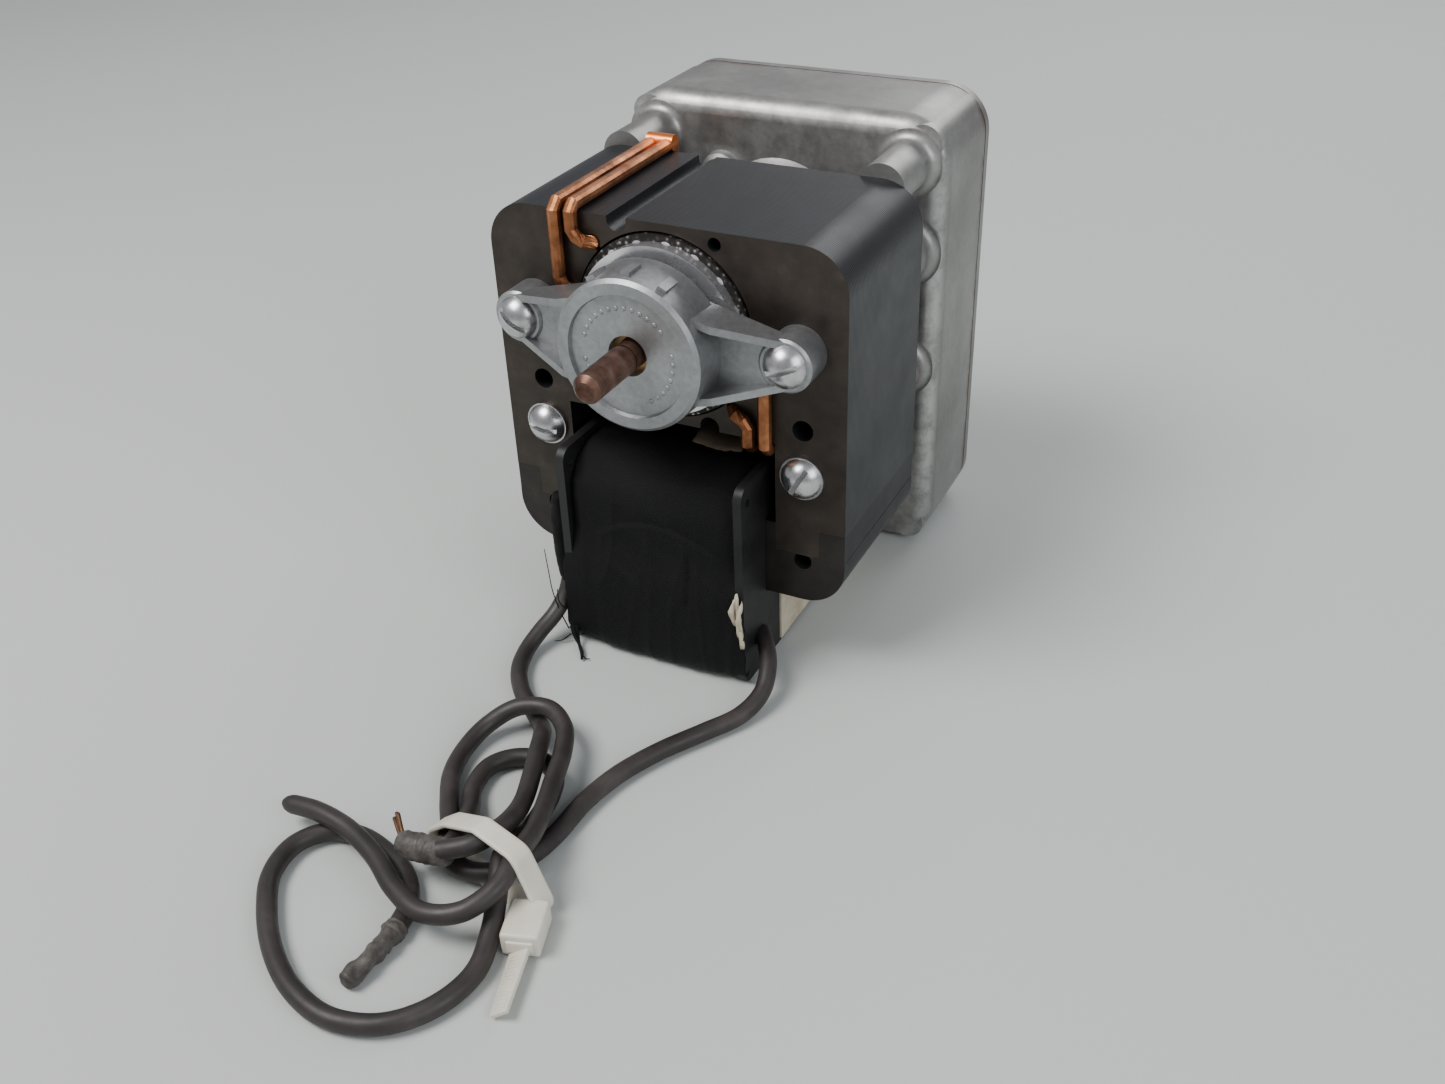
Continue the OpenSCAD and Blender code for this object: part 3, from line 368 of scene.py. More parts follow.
cream = paper("cream_paper", (0.66, 0.60, 0.46), (0.30, 0.22, 0.13))
brown = paper("brown_paper", (0.13, 0.095, 0.06), (0.05, 0.034, 0.02))
for n in ("coil_paper", "paper_flap"):
    paint(n, cream)
paint("window_paper", brown)
paint("gearbox_gasket", brown)
felt = paper("oil_felt", (0.24, 0.21, 0.17), (0.10, 0.08, 0.05))
paint("oil_felt", felt)
fibre_board = paper("fibre_wheel", (0.50, 0.34, 0.17), (0.30, 0.18, 0.08))
for n in ("first_wheel", "gear_washers"):
    paint(n, fibre_board)


def winding_wire():
    s = Shade("winding")
    turns = s.wave(s.axis("X"), WINDING_PITCH)
    s.colour(s.mix(s.span(turns, -1, 1), (0.16, 0.06, 0.025), (0.40, 0.17, 0.07)))
    s.rough(0.35).set(Metallic=0.7)
    s.bump(turns, 0.6, 0.0001)
    return s


winding = winding_wire()
paint("coil_winding", winding)


def woven_tape():
    s = Shade("woven_tape")
    warp = s.wave(s.axis("X"), WARP_PITCH)
    weft = s.wave(s.math("ADD", s.axis("Z"), s.axis("Y")), WEFT_PITCH)
    weave = s.math("MULTIPLY", warp, weft)
    cloud = s.noise(55, 5, 0.6)
    tone = s.ramp(cloud, (0.35, (0.0014, 0.0014, 0.0015)), (0.65, (0.0042, 0.0042, 0.0045)))
    s.colour(s.mix(s.span(weave, 0.2, 1.0, 0.0, 0.5), tone, (0.013, 0.013, 0.014)))
    s.rough(s.ramp(cloud, (0.3, 0.62), (0.7, 0.8)))
    s.set(Specular_IOR_Level=0.22)
    s.bump(weave, 0.55, 0.00012)
    s.bump(s.noise(700, 4, 0.6), 0.3, 0.0001)
    return s


tape_mat = woven_tape()
paint("splice_wrap", tape_mat)


def lead_rubber():
    s = Shade("lead_rubber")
    s.colour(s.ramp(s.noise(75, 5, 0.6), (0.32, (0.017, 0.0135, 0.013)), (0.55, (0.031, 0.0255, 0.024)),
                    (0.75, (0.060, 0.050, 0.047))))
    s.rough(s.ramp(s.noise(190, 4, 0.6), (0.3, 0.42), (0.7, 0.62)))
    s.bump(s.noise(1100, 3, 0.6), 0.3, 0.00006)
    s.bump(s.noise(140, 3, 0.5), 0.25, 0.0002)
    return s


def grey_wrap():
    s = Shade("grey_wrap")
    s.colour(s.ramp(s.noise(230, 6, 0.7), (0.3, (0.026, 0.023, 0.021)), (0.5, (0.068, 0.061, 0.055)),
                    (0.72, (0.15, 0.138, 0.125))))
    s.rough(s.ramp(s.noise(300, 4, 0.6), (0.3, 0.45), (0.7, 0.75)))
    s.bump(s.noise(620, 5, 0.65), 0.6, 0.0003)
    return s


def tie_nylon():
    s = Shade("tie_nylon")
    s.colour(s.ramp(s.noise(90, 4, 0.6), (0.35, (0.66, 0.62, 0.52)), (0.65, (0.76, 0.73, 0.64))))
    s.rough(s.ramp(s.noise(200, 3, 0.5), (0.3, 0.34), (0.7, 0.48)))
    s.set(Subsurface_Weight=0.25, Subsurface_Radius=(0.002, 0.0018, 0.0012))
    s.bump(s.noise(420, 3, 0.5), 0.12, 0.0001)
    return s


rubber = lead_rubber()
wrap = grey_wrap()
bare = steel("bare_wire", (0.30, 0.17, 0.10), 0.45, 0.4, (0.1, 0.06, 0.04))
nylon = tie_nylon()


# ---- geometry helpers ----

def in_scene(name, data):
    o = bpy.data.objects.new(name, data)
    bpy.context.scene.collection.objects.link(o)
    return o


def mesh_object(name, mesh, mat, smooth=True):
    mesh.materials.append(mat.mat)
    if smooth:
        mesh.polygons.foreach_set("use_smooth", [True] * len(mesh.polygons))
    return in_scene(name, mesh)


def obj_from_bmesh(name, bm, mat):
    mesh = bpy.data.meshes.new(name)
    bm.to_mesh(mesh)
    bm.free()
    return mesh_object(name, mesh, mat)


def metres(points):
    return [Vector(p) * MM for p in points]


def box_mm(node):
    return [corner / MM for corner in box(node)]


def obj_from(name, verts, faces, mat, smooth=True):
    mesh = bpy.data.meshes.new(name)
    mesh.from_pydata([tuple(v) for v in verts], [], faces)
    mesh.validate()
    mesh.update()
    return mesh_object(name, mesh, mat, smooth)


def spline(points, steps):
    """A centripetal curve through the points, as a denser list."""
    pts = [Vector(p) for p in points]
    pts = [2 * pts[0] - pts[1], *pts, 2 * pts[-1] - pts[-2]]
    out = []
    for i in range(1, len(pts) - 2):
        p = pts[i - 1:i + 3]
        t = [0.0]
        for a, b in zip(p, p[1:]):
            t.append(t[-1] + max((b - a).length, 1e-9) ** 0.5)
        for k in range(steps):
            u = t[1] + (t[2] - t[1]) * k / steps
            a1 = p[0].lerp(p[1], (u - t[0]) / (t[1] - t[0]))
            a2 = p[1].lerp(p[2], (u - t[1]) / (t[2] - t[1]))
            a3 = p[2].lerp(p[3], (u - t[2]) / (t[3] - t[2]))
            b1 = a1.lerp(a2, (u - t[0]) / (t[2] - t[0]))
            b2 = a2.lerp(a3, (u - t[1]) / (t[3] - t[1]))
            out.append(b1.lerp(b2, (u - t[1]) / (t[2] - t[1])))
    out.append(pts[-2])
    return out


def even_loop(pts, n):
    """n points at even distances round the closed loop."""
    total = sum((pts[i] - pts[i - 1]).length for i in range(len(pts)))
    out, walked, want = [], 0.0, 0.0
    for i, a in enumerate(pts):
        b = pts[(i + 1) % len(pts)]
        seg = (b - a).length
        while len(out) < n and want <= walked + seg:
            out.append(a.lerp(b, (want - walked) / max(seg, 1e-9)))
            want += total / n
        walked += seg
    return out


def frames(line):
    """Parallel-transported side vectors along a line: (point, tangent, u, v)."""
    out = []
    u = None
    for i, p in enumerate(line):
        t = (line[min(i + 1, len(line) - 1)] - line[max(i - 1, 0)]).normalized()
        if u is None:
            u = t.orthogonal().normalized()
        u = (u - t * u.dot(t)).normalized()
        out.append((p, t, u, t.cross(u)))
    return out


def tube(name, line, radius, mat, sides):
    """A closed tube. radius(s, a) is its radius at the share s of the line's length and the angle a."""
    verts, faces = [], []
    fr = frames(line)
    n = len(fr)
    for i, (p, t, u, v) in enumerate(fr):
        for k in range(sides):
            a = 2 * math.pi * k / sides
            r = radius(i / (n - 1), a)
            verts.append(p + r * (math.cos(a) * u + math.sin(a) * v))
    for i in range(n - 1):
        for k in range(sides):
            k2 = (k + 1) % sides
            faces.append((i * sides + k, i * sides + k2, (i + 1) * sides + k2, (i + 1) * sides + k))
    faces.append(tuple(range(sides - 1, -1, -1)))
    faces.append(tuple((n - 1) * sides + k for k in range(sides)))
    return obj_from(name, verts, faces, mat)


def join(name, *objs):
    target = objs[0]
    bm = bmesh.new()
    mats = []
    for o in objs:
        for m in o.data.materials:
            if m not in mats:
                mats.append(m)
    for o in objs:
        start = len(bm.faces)
        bm.from_mesh(o.data)
        bm.faces.ensure_lookup_table()
        for f in bm.faces[start:]:
            own = o.data.materials[min(f.material_index, len(o.data.materials) - 1)]
            f.material_index = mats.index(own)
    mesh = bpy.data.meshes.new(name)
    bm.to_mesh(mesh)
    bm.free()
    for m in mats:
        mesh.materials.append(m)
    for o in objs[1:]:
        bpy.data.objects.remove(o)
    target.data = mesh
    target.name = name
    return target


# ---- camera ----

CAM_AT = (0.13969, -0.28979, 0.20823)
CAM_RIGHT = (0.8960, 0.4431, -0.0298)
CAM_BACK = (0.3869, -0.7458, 0.5423)

cam_data = bpy.data.cameras.new("camera")
cam_data.lens = 36.12
cam_data.sensor_width = 36
cam_data.clip_start = 0.01
cam = in_scene("camera", cam_data)
right = Vector(CAM_RIGHT).normalized()
back = Vector(CAM_BACK)
back = (back - right * back.dot(right)).normalized()
up = back.cross(right)
cam.matrix_world = Matrix([(right[i], up[i], back[i], CAM_AT[i]) for i in range(3)] + [(0, 0, 0, 1)])
bpy.context.scene.camera = cam


# ---- leads ----

# The same routes as in the CAD source, in millimetres
RIGHT = [(22.6, -46, 9), (25.6, -50, 8.6), (28.4, -55, 7), (29.6, -61, 4.2), (27.8, -68, 2.4),
    (22.8, -76.5, 2.2), (17, -86, 2.2), (12.6, -96, 2.2), (10.4, -106, 2.2), (10, -116, 2.2),
    (9.4, -124, 3.2), (6.6, -130.6, 3.4), (0.2, -133.4, 3.4), (-6.4, -130.8, 3.4),
    (-10.2, -124.6, 3.2), (-15.2, -118, 2.4), (-19.6, -111, 2.2), (-21.8, -103, 2.2),
    (-20.8, -95.4, 3.6), (-16, -90, 6.2), (-9, -88.4, 7), (-2.6, -92.4, 6.9), (1.4, -99.6, 6.8),
    (4.4, -108, 7.2), (7.4, -116, 8), (10.2, -124.4, 9.4), (11.6, -132.4, 10.9), (12.2, -139.6, 10),
    (8.4, -146, 8), (1, -148.4, 6.8), (-7.4, -145.6, 6.6), (-16, -140.4, 6.6), (-25, -136.6, 6.6),
    (-34.5, -134.8, 6.4), (-44, -134.4, 5)]
LEFT = [(-25.4, -51.45, 14), (-25.6, -53.2, 11), (-26.6, -57, 7.2), (-28.2, -62, 4.4), (-28.6, -68, 2.4),
    (-26, -75, 2.2), (-20.8, -81.4, 2.2), (-14.6, -86.2, 2.2), (-9.8, -90.6, 2.8),
    (-6.6, -95.4, 5.2), (-3.8, -101, 6.7), (-0.9, -108, 6.7), (1.8, -115, 7), (4, -121.4, 9.2),
    (4.6, -127.6, 11), (2.2, -133.2, 11), (-3.6, -136.2, 9.6)]
JOINT = [(-3, -134.4, 8.4), (-4, -130, 7.6), (-6.2, -124.6, 5.6), (-9.4, -118.4, 3), (-13, -112.4, 2.2),
    (-13.8, -105.6, 2.2), (-10.8, -101, 2.2), (-5.4, -99, 2.2), (0, -101.4, 2.2), (3, -107.6, 2.2),
    (4, -114, 2.2), (4.8, -119.6, 3.4), (5.6, -125.4, 6.5), (7.4, -131.6, 7.7), (10.6, -138, 6),
    (13.2, -144.8, 3.2), (15.2, -153, 2.2), (13, -162.4, 2.2), (6.8, -169.4, 2.2),
    (-2.4, -172.2, 2.2), (-12, -170.2, 2.2), (-21.4, -164.8, 2.2), (-29.6, -157.2, 2.2),
    (-35.4, -149, 2.2), (-36.4, -141, 2.2), (-32.4, -135.2, 2.2), (-25.4, -133.6, 2.2),
    (-17.4, -135.4, 2.2), (-10.4, -139, 2.2), (-5.8, -144.4, 2.2), (-4.2, -150, 2.3)]
SPLICE = [(-1.6, -135.2, 8.9), (-7.4, -135.8, 8.2), (-13, -136, 7.6)]
END = [(-4.2, -150, 2.3), (-4, -156.4, 2.4), (-4.8, -165, 2.4)]
LEAD_R = 2.0 * MM


def lead(name, route, cut_end=False):
    line = spline(metres(route), 10)
    data = bpy.data.curves.new(name, "CURVE")
    data.dimensions = "3D"
    data.bevel_depth = LEAD_R
    data.bevel_resolution = 7
    data.use_fill_caps = True
    s = data.splines.new("POLY")
    s.points.add(len(line) - 1)
    # a slightly uneven sleeve
    for i, p in enumerate(line):
        s.points[i].co = (*p, 1)
        s.points[i].radius = 1 + 0.02 * noise.noise(p * 90)
    if cut_end:
        for i, r in enumerate((0.45, 0.78, 0.94)):
            s.points[len(line) - 1 - i].radius = r
    data.materials.append(rubber.mat)
    o = in_scene(name, data)
    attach(o, "motor_frame")
    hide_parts(name)
    o.name = name + "_sleeve"
    return o, line


lead_a, line_a = lead("lead_right", RIGHT, cut_end=True)
lead_b, line_b = lead("lead_left", LEFT)
lead_c, line_c = lead("lead_joint", JOINT)

# Taped splice: overlapping turns of grey tape, pinched towards its bare stub
splice_line = spline(metres(SPLICE), 26)


def splice_radius(s, a):
    turn = (s * 7 + a / (2 * math.pi)) % 1.0
    body = 2.75 - 0.5 * max(0.0, (s - 0.72) / 0.28) ** 2 - 0.7 * max(0.0, (0.1 - s) / 0.1)
    lump = 0.22 * noise.noise(Vector((s * 9, math.cos(a) * 1.3, math.sin(a) * 1.3)))
    return (body + 0.16 * turn + lump) * MM


splice = tube("splice_tape", splice_line, splice_radius, wrap, 40)
stub_pts = metres([(-12.4, -135.6, 8), (-15, -133.4, 8.2), (-18, -130.6, 8.4)])
STUB_R = 0.42 * MM
stubs = []
for j in range(3):
    turn = j * 2.1
    off = Vector((0.18 * math.cos(turn), 0.18 * math.sin(turn), 0.2 * math.sin(turn + 1))) * MM
    stub_line = spline([p + off * (1 + i) for i, p in enumerate(stub_pts)], 8)
    stubs.append(tube("stub%d" % j, stub_line, lambda s, a: STUB_R, bare, 10))
splice = join("splice_tape", splice, *stubs)
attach(splice, "motor_frame")
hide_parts("lead_splice")

# Taped end of the joint wire: a thick lapped start, a twisted middle and a flattened tail
end_line = spline(metres(END), 34)


def end_radius(s, a):
    lap = 2.25 - 0.25 * (s > 0.16) - 0.2 * (s > 0.42) + 0.16 * math.exp(-((s - 0.12) / 0.05) ** 2)
    twist = 0.2 * math.cos(2 * (a + s * 9)) * (0.35 + s)
    lump = 0.25 * noise.noise(Vector((s * 12, math.cos(a) * 1.4, math.sin(a) * 1.4 + 5)))
    return (lap + twist + lump - 0.9 * max(0.0, (s - 0.97) / 0.03) ** 2) * MM


lead_tip = tube("lead_tip_tape", end_line, end_radius, wrap, 32)
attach(lead_tip, "motor_frame")
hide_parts("lead_end")

# ---- cable tie ----

tie_at = Matrix.Translation(Vector((2, -130.5, 0)) * MM) @ Matrix.Rotation(math.radians(-15), 4, "Z")


def hull_outline(circles, r, n):
    """n points round the convex hull of circles of the radius r, in the strap's plane, evenly spaced."""
    pts = []
    for k in range(360):
        d = (math.cos(math.radians(k)), math.sin(math.radians(k)))
        c = max(circles, key=lambda q: q[0] * d[0] + q[1] * d[1])
        pts.append(Vector((c[0] + r * d[0], c[1] + r * d[1])))
    return even_loop(pts, n)


# The strands that the strap goes round, across the tie and up
STRANDS = [(-11.3, 3.4), (-6.6, 7.5), (1.7, 11.3), (10.2, 10.9), (14.4, 3.4)]
STRAP_HALF_W = 2.3
STRAP_HALF_T = 0.52
STRAP_MID_R = 2.3 + 0.55  # from a strand's middle to the strap's


def strap_band():
    w, t = STRAP_HALF_W, STRAP_HALF_T
    profile = [(-w, -t * 0.5), (-w + 0.25, -t), (w - 0.25, -t), (w, -t * 0.5), (w, t * 0.5),
               (w - 0.25, t), (w - 0.8, t), (0.8 - w, t), (-w + 0.25, t), (-w, t * 0.5)]
    mid = hull_outline(STRANDS, STRAP_MID_R, 120)
    verts, faces = [], []
    m = len(profile)
    for i, p in enumerate(mid):
        j = (i + 1) % len(mid)
        d = (mid[j] - mid[i - 1]).normalized()
        out = Vector((d.y, -d.x))
        for across, high in profile:
            q = p + out * high
            verts.append(tie_at @ (Vector((q.x, across, q.y)) * MM))
        for k in range(m):
            faces.append((i * m + k, i * m + (k + 1) % m, j * m + (k + 1) % m, j * m + k))
    return obj_from("strap", verts, faces, nylon)


strap = strap_band()


def bevelled_box(name, lo, hi, mat, width, at, segments=3, taper=None):
    bm = bmesh.new()
    bmesh.ops.create_cube(bm, size=1)
    lo, hi = Vector(lo), Vector(hi)
    for v in bm.verts:
        v.co = Vector((lo[i] + (v.co[i] + 0.5) * (hi[i] - lo[i]) for i in range(3)))
    if taper:
        taper(bm)
    bmesh.ops.bevel(bm, geom=bm.edges[:], offset=width, segments=segments, profile=0.6, affect="EDGES")
    for v in bm.verts:
        v.co = at @ (v.co * MM)
    return obj_from_bmesh(name, bm, mat)


def moved(start, offset, degrees, axis):
    """The place start, moved by the offset in millimetres and turned."""
    return start @ Matrix.Translation(Vector(offset) * MM) @ Matrix.Rotation(math.radians(degrees), 4, axis)


head_at = moved(tie_at, (18.4, -5.6, 0), 33, "Z")
tail_at = moved(head_at, (0, -11.5, 1.8), -31, "Y")  # leaning on its right edge


def thin_tail(bm):
    """The far end is cut narrower."""
    for v in bm.verts:
        if v.co.y < 0:
            v.co.x *= 0.82


head = bevelled_box("tie_head", (-3.7, -4.6, 0.35), (3.7, 4.9, 5.65), nylon, 0.7, head_at)
lip = bevelled_box("tie_lip", (-2.6, -5.0, 1.4), (2.6, -3.6, 4.2), nylon, 0.35, head_at)
tail = bevelled_box("tie_tail", (-2.3, -7.5, -0.53), (2.3, 7.5, 0.5), nylon, 0.3, tail_at, 2, thin_tail)
TOOTH_PITCH = 0.9
teeth = []
for i in range(14):
    y = -6.4 + TOOTH_PITCH * i
    teeth.append(bevelled_box("tooth%d" % i, (-1.4, y, 0.35), (1.4, y + 0.4, 0.68), nylon, 0.1, tail_at, 1))
tie = join("cable_tie_loop", strap, head, lip, tail, *teeth)
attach(tie, "motor_frame")
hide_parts("cable_tie")

# ---- coil: winding, paper and woven tape ----

coil_lo, coil_hi = box_mm("coil_tape")
cheek_front = box_mm("coil_bobbin")[0].y
stack_front = box_mm("stator_core")[0].y
COIL_HALF = 20.8  # half the width between the cheeks


def arc(cy, cz, r, a0, a1):
    angles = [math.radians(a0 + (a1 - a0) * k / 12) for k in range(13)]
    return [Vector((cy + r * math.cos(a), cz + r * math.sin(a))) for a in angles]


def coil_loop(inset, n):
    """The coil's outline in Y and Z, up the front face first. Its front shoulder is the roundest corner."""
    y0, y1 = coil_lo.y + 1.0 + inset, coil_hi.y - 0.6 - inset
    z0, z1 = coil_lo.z + 0.3 + inset, coil_hi.z - 1.0 - inset
    r_front, r = 11.0 - inset, 6.0 - inset * 0.5
    r_back = r_front * 0.7
    return even_loop(arc(y0 + r, z0 + r, r, 270, 180) + arc(y0 + r_front, z1 - r_front, r_front, 180, 90)
                     + arc(y1 - r_back, z1 - r_back, r_back, 90, 0) + arc(y1 - r, z0 + r, r, 0, -90), n)


def smooth(x, lo, hi):
    x = min(1.0, max(0.0, (x - lo) / (hi - lo)))
    return x * x * (3 - 2 * x)


def coil_piece(name, inset, thick, mat, shape, n, m):
    """A closed band round the coil. shape(p, t) gives the outward move and X at the share t of the width."""
    loop = coil_loop(inset, n)
    verts, faces = [], []
    for i, p in enumerate(loop):
        d = (loop[(i + 1) % n] - loop[i - 1]).normalized()
        out = Vector((-d.y, d.x))
        for j in range(m + 1):
            t = 2 * j / m - 1
            move, x = shape(p, t)
            top, low = p + out * move, p + out * (move - thick)
            verts.append(Vector((x, top.x, top.y)) * MM)
            verts.append(Vector((x, low.x, low.y)) * MM)
    w = 2 * (m + 1)
    for i in range(n):
        a, b = i * w, ((i + 1) % n) * w
        for j in range(m):
            faces.append((a + 2 * j, a + 2 * j + 2, b + 2 * j + 2, b + 2 * j))
            faces.append((a + 2 * j + 1, b + 2 * j + 1, b + 2 * j + 3, a + 2 * j + 3))
        faces.append((a, b, b + 1, a + 1))
        faces.append((a + w - 2, a + w - 1, b + w - 1, b + w - 2))
    return obj_from(name, verts, faces, mat)


def fold(x, y, z, seed):
    """Ridged noise: sharp creases between soft swells, from 0 to 1."""
    return 1 - abs(noise.noise(Vector((x, y, z + seed)))) * 2


def tape_shape(p, t):
    y, z = p
    front = 1 - smooth(y, cheek_front + 1, cheek_front + 9)
    low = front * (1 - smooth(z, 20, 33))
    # the last turns lap over the front edges of the cheeks, lower down
    right_tear = math.exp(-((z - 18.5) / 5.5) ** 2) if t > 0 else 0.0
    flare = low * smooth(z, 0.4, 3.5)
    frayed = 0.35 * noise.noise(Vector((z * 0.45, t * 3, 2.0)))
    half = COIL_HALF + flare * (2.7 + frayed - 2.3 * right_tear)
    x = t * half
    # the tape bellies out between the cheeks and is drawn in at their edges
    belly = 0.9 * (1 - t ** 4) * (0.4 + 0.6 * front) - 0.5 * smooth(abs(t), 0.8, 1.0) * (1 - low)
    upright = max(0, fold(x * 0.13, z * 0.03, y * 0.05, 3.0)) ** 3
    slanted = max(0, fold(x * 0.05 + z * 0.05, z * 0.05 - x * 0.03, 0, 8.0)) ** 4
    creases = upright * 0.38 + slanted * 0.32
    small = 0.10 * noise.noise(Vector((x * 0.7, y * 0.25, z * 0.25)))
    # one arched lap across the front, below the shoulder
    arch = 37.5 - (x - 1.5) ** 2 * 0.022
    lap = 0.5 * smooth(arch - z, -0.2, 0.2) * front * (1 - smooth(abs(x - 1.5), 14, 17))
    # a short upright pleat to the right of the middle
    pleat = -0.55 * math.exp(-((x - 9.6) / 0.45) ** 2) * front * smooth(z, 18, 21) * (1 - smooth(z, 30, 33))
    move = belly + (creases - 0.35) * (0.4 + 0.6 * front) + small + lap + pleat + 2.1 * flare
    # nothing reaches the floor or the lamination window
    if z < 3:
        move = min(move, 0.25)
    if y > stack_front - 1:
        move = min(move, 0.3)
    return move, x


coil_tape = coil_piece("woven_coil_tape", 0.0, 0.4, tape_mat, tape_shape, n=420, m=110)

# A frayed tail at the lower left corner, and loose threads
TAPE_TAIL = [(-21.5, -57.2, 5.0), (-20.6, -58.2, 2.6), (-19.0, -59.6, 1.2), (-17.2, -61.6, 0.9),
             (-16.2, -63.4, 0.8)]
THREADS = [
    [(-23.2, -57.2, 3.5), (-25.2, -57.4, 8.5), (-27.0, -56.8, 13.0), (-28.0, -56.2, 18.5),
     (-28.6, -56.0, 24.0)],
    [(-23.4, -57.0, 9.0), (-24.8, -57.6, 11.0), (-25.2, -57.4, 14.5)],
    [(-17.4, -61.4, 0.9), (-15.8, -62.4, 0.5), (-14.6, -62.2, 0.45)],
    [(22.8, -57.2, 19.5), (24.0, -57.6, 17.0), (23.6, -57.6, 14.2)],
    [(-22.6, -57.4, 2.2), (-24.2, -59.0, 1.0), (-26.0, -59.6, 0.5)]]


def tail_radius(s, a):
    return (0.75 + 0.5 * math.cos(2 * a + 6 * s) * (1 - s) - 0.45 * s) * MM


def thread_radius(s, a):
    return 0.16 * MM * (1 - 0.4 * s)


ragged = [tube("tape_tail", spline(metres(TAPE_TAIL), 8), tail_radius, tape_mat, 14)]
for j, route in enumerate(THREADS):
    ragged.append(tube("thread%d" % j, spline(metres(route), 8), thread_radius, tape_mat, 8))
coil_tape = join("woven_coil_tape", coil_tape, *ragged)
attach(coil_tape, "motor_frame")
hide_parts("coil_tape")


def paper_shape(p, t):
    return 0.08 * noise.noise(Vector((t * 4, p.x * 0.2, p.y * 0.2))), t * COIL_HALF


def turns_shape(p, t):
    return 0.12 * math.cos(t * COIL_HALF * 2 * math.pi / 1.3), t * 20.7


paper_band = coil_piece("coil_paper_band", 1.0, 0.4, cream, paper_shape, n=160, m=24)
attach(paper_band, "motor_frame")
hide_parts("coil_paper")
turns_band = coil_piece("coil_turns", 1.6, 6.5, winding, turns_shape, n=96, m=150)
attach(turns_band, "motor_frame")
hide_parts("coil_winding")

# Torn paper showing at the lower right edge of the front: X, bottom, top and width of each shred
SHREDS = [(22.2, 14.5, 26.1, 1.5), (22.9, 11.7, 23.3, 1.3), (21.4, 18.0, 24.9, 1.1), (23.3, 17.0, 25.3, 0.9)]
SHRED_STEPS = 9


def shred(j, x, z0, z1, width):
    verts, faces = [], []
    for k in range(SHRED_STEPS + 1):
        s = k / SHRED_STEPS
        half = width * 0.5 * (math.sin(math.pi * (0.08 + 0.9 * s)) ** 0.6) + 0.14 * rng.uniform(-1, 1)
        z = z0 + (z1 - z0) * s
        lift = -57.0 - 0.35 * j - 0.5 * math.sin(math.pi * s) + 0.1 * rng.uniform(-1, 1)
        mid = x + 0.35 * math.sin(5 * s + j)
        for side in (-1, 1):
            verts.append(Vector((mid + side * half, lift + 0.15 * side, z)) * MM)
            verts.append(Vector((mid + side * half, lift + 0.15 * side + 0.16, z)) * MM)
    for a in range(0, 4 * SHRED_STEPS, 4):
        b = a + 4
        faces += [(a, a + 2, b + 2, b), (a + 1, b + 1, b + 3, a + 3)]
        faces += [(a, b, b + 1, a + 1), (a + 2, a + 3, b + 3, b + 2)]
    faces += [(0, 1, 3, 2), (b, b + 2, b + 3, b + 1)]
    return obj_from("torn%d" % j, verts, faces, cream)


torn = [shred(j, *sizes) for j, sizes in enumerate(SHREDS)]
torn = join("torn_paper", *torn)
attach(torn, "motor_frame")

# Taped lump over the left lead's joint, beside the cheek
LUMP = [(-25.2, -52.4, 38), (-25.5, -52.2, 33), (-25.7, -51.9, 26), (-25.6, -51.6, 19), (-25.4, -51.5, 13),
        (-25.4, -52.0, 9.5)]
lump_line = spline(metres(LUMP), 14)


def lump_radius(s, a):
    swell = 1.5 + 0.9 * math.sin(math.pi * min(1, s * 1.15)) ** 0.7
    return (swell + 0.3 * noise.noise(Vector((s * 10, math.cos(a), math.sin(a)))) + 0.1 * ((s * 11) % 1)) * MM


lump = tube("splice_wrap_tape", lump_line, lump_radius, tape_mat, 32)
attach(lump, "motor_frame")
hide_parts("splice_wrap")


# Window paper: a curled strip in place of the flat one
def curled_strip(cols=14, rows=26):
    lo, hi = box_mm("window_paper")
    verts, faces = [], []
    for i in range(rows + 1):
        y = lo.y + (hi.y - lo.y) * i / rows
        for j in range(cols + 1):
            x = lo.x + (hi.x - lo.x) * j / cols + 0.25 * noise.noise(Vector((i * 0.6, j * 0.2, 0)))
            u = (j / cols - 0.5) * 2
            uneven = 0.6 + 0.4 * noise.noise(Vector((j * 0.5, 3, 0)))
            droop = -1.3 * (1 - smooth(y, lo.y, lo.y + 3.5)) * uneven
            z = hi.z - 0.9 + 0.7 * u * u + droop + 0.1 * noise.noise(Vector((i * 0.3, j * 0.3, 4)))
            verts += [Vector((x, y, z)) * MM, Vector((x, y, z - 0.3)) * MM]
    w = 2 * (cols + 1)
    e = rows * w
    for a in range(0, e, w):
        b = a + w
        for j in range(0, 2 * cols, 2):
            faces += [(a + j, a + j + 2, b + j + 2, b + j), (a + j + 1, b + j + 1, b + j + 3, a + j + 3)]
        faces += [(a, b, b + 1, a + 1), (a + w - 2, a + w - 1, b + w - 1, b + w - 2)]
    for j in range(0, 2 * cols, 2):
        faces += [(j, j + 1, j + 3, j + 2), (e + j, e + j + 2, e + j + 3, e + j + 1)]
    return obj_from("window_paper_strip", verts, faces, brown)


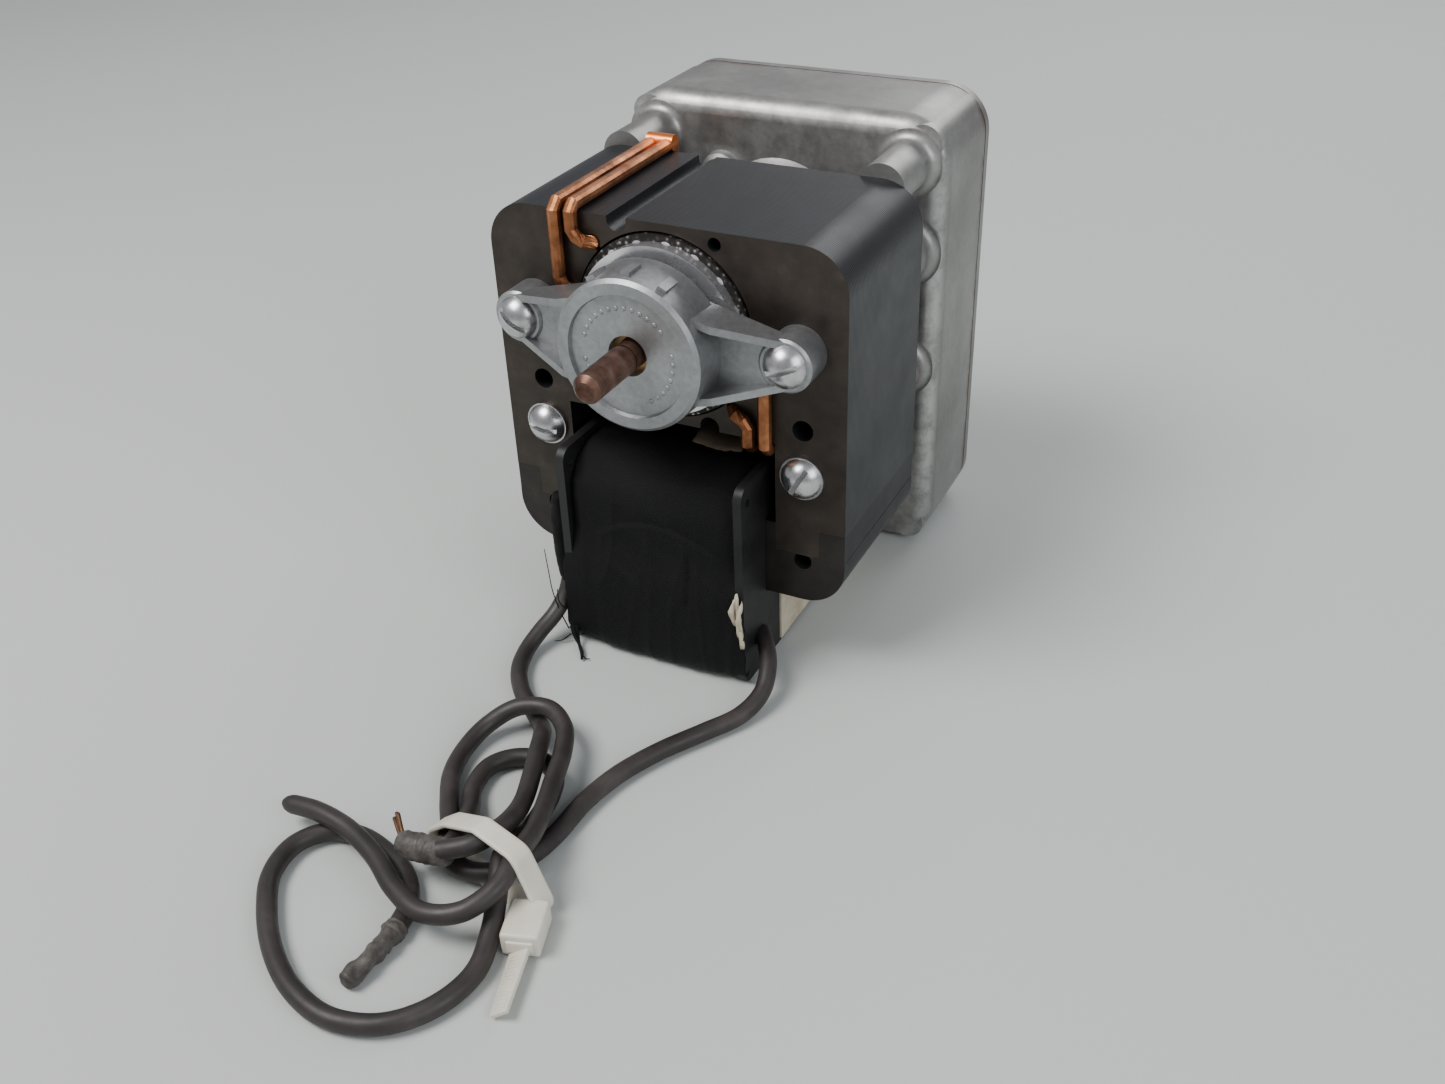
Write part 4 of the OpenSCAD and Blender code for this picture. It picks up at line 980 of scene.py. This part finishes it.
strip = curled_strip()
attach(strip, "motor_frame")
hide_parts("window_paper")

# Cast pips round the hub face, where a casting carries its marks
PIP_R = 0.52
PIP_RING_R = 10.4
hub_front = box_mm("front_bracket")[0].y
shaft_z = sum(box_mm("motor_shaft"), Vector()).z / 2


def pip(k):
    a = math.radians(-62 + k * 10.2)
    bm = bmesh.new()
    bmesh.ops.create_uvsphere(bm, u_segments=14, v_segments=8, radius=PIP_R * MM)
    for v in bm.verts:
        v.co.y *= 0.45
        v.co += Vector((PIP_RING_R * math.cos(a), hub_front + 0.86, shaft_z + PIP_RING_R * math.sin(a))) * MM
    return obj_from_bmesh("pip%d" % k, bm, bracket_alloy)


# the ring has two gaps
pips = [pip(k) for k in range(30) if not 7 < k % 15 < 10]
pips = join("hub_pips", *pips)
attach(pips, "motor_frame")


# ---- stage ----

floor_mat = Shade("floor")
floor_mat.colour((0.52, 0.55, 0.53)).rough(0.75)
floor_corners = [(-3, -3, 0), (3, -3, 0), (3, 3, 0), (-3, 3, 0)]
floor = obj_from("floor", floor_corners, [(0, 1, 2, 3)], floor_mat, smooth=False)
floor.location.z = -0.0001

world = bpy.data.worlds.new("world")
bpy.context.scene.world = world
world.use_nodes = True
backdrop = world.node_tree.nodes["Background"]
backdrop.inputs["Color"].default_value = (0.80, 0.80, 0.84, 1)
backdrop.inputs["Strength"].default_value = 0.48


def area_light(name, at, target, size, power, colour=(1, 1, 1)):
    d = bpy.data.lights.new(name, "AREA")
    d.shape = "RECTANGLE"
    d.size, d.size_y = size
    d.energy = power
    d.color = colour
    o = in_scene(name, d)
    o.location = at
    o.rotation_euler = (Vector(target) - Vector(at)).to_track_quat("-Z", "Y").to_euler()


area_light("key", (-0.35, -0.45, 0.85), (0, 0, 0.04), (0.5, 0.4), 9.5, (1, 0.98, 0.96))
area_light("fill", (0.75, -0.35, 0.5), (0, 0, 0.05), (0.5, 0.5), 3.2, (0.95, 0.97, 1))
area_light("rim", (0.1, 0.8, 0.6), (0, 0, 0.05), (0.7, 0.3), 3.5)
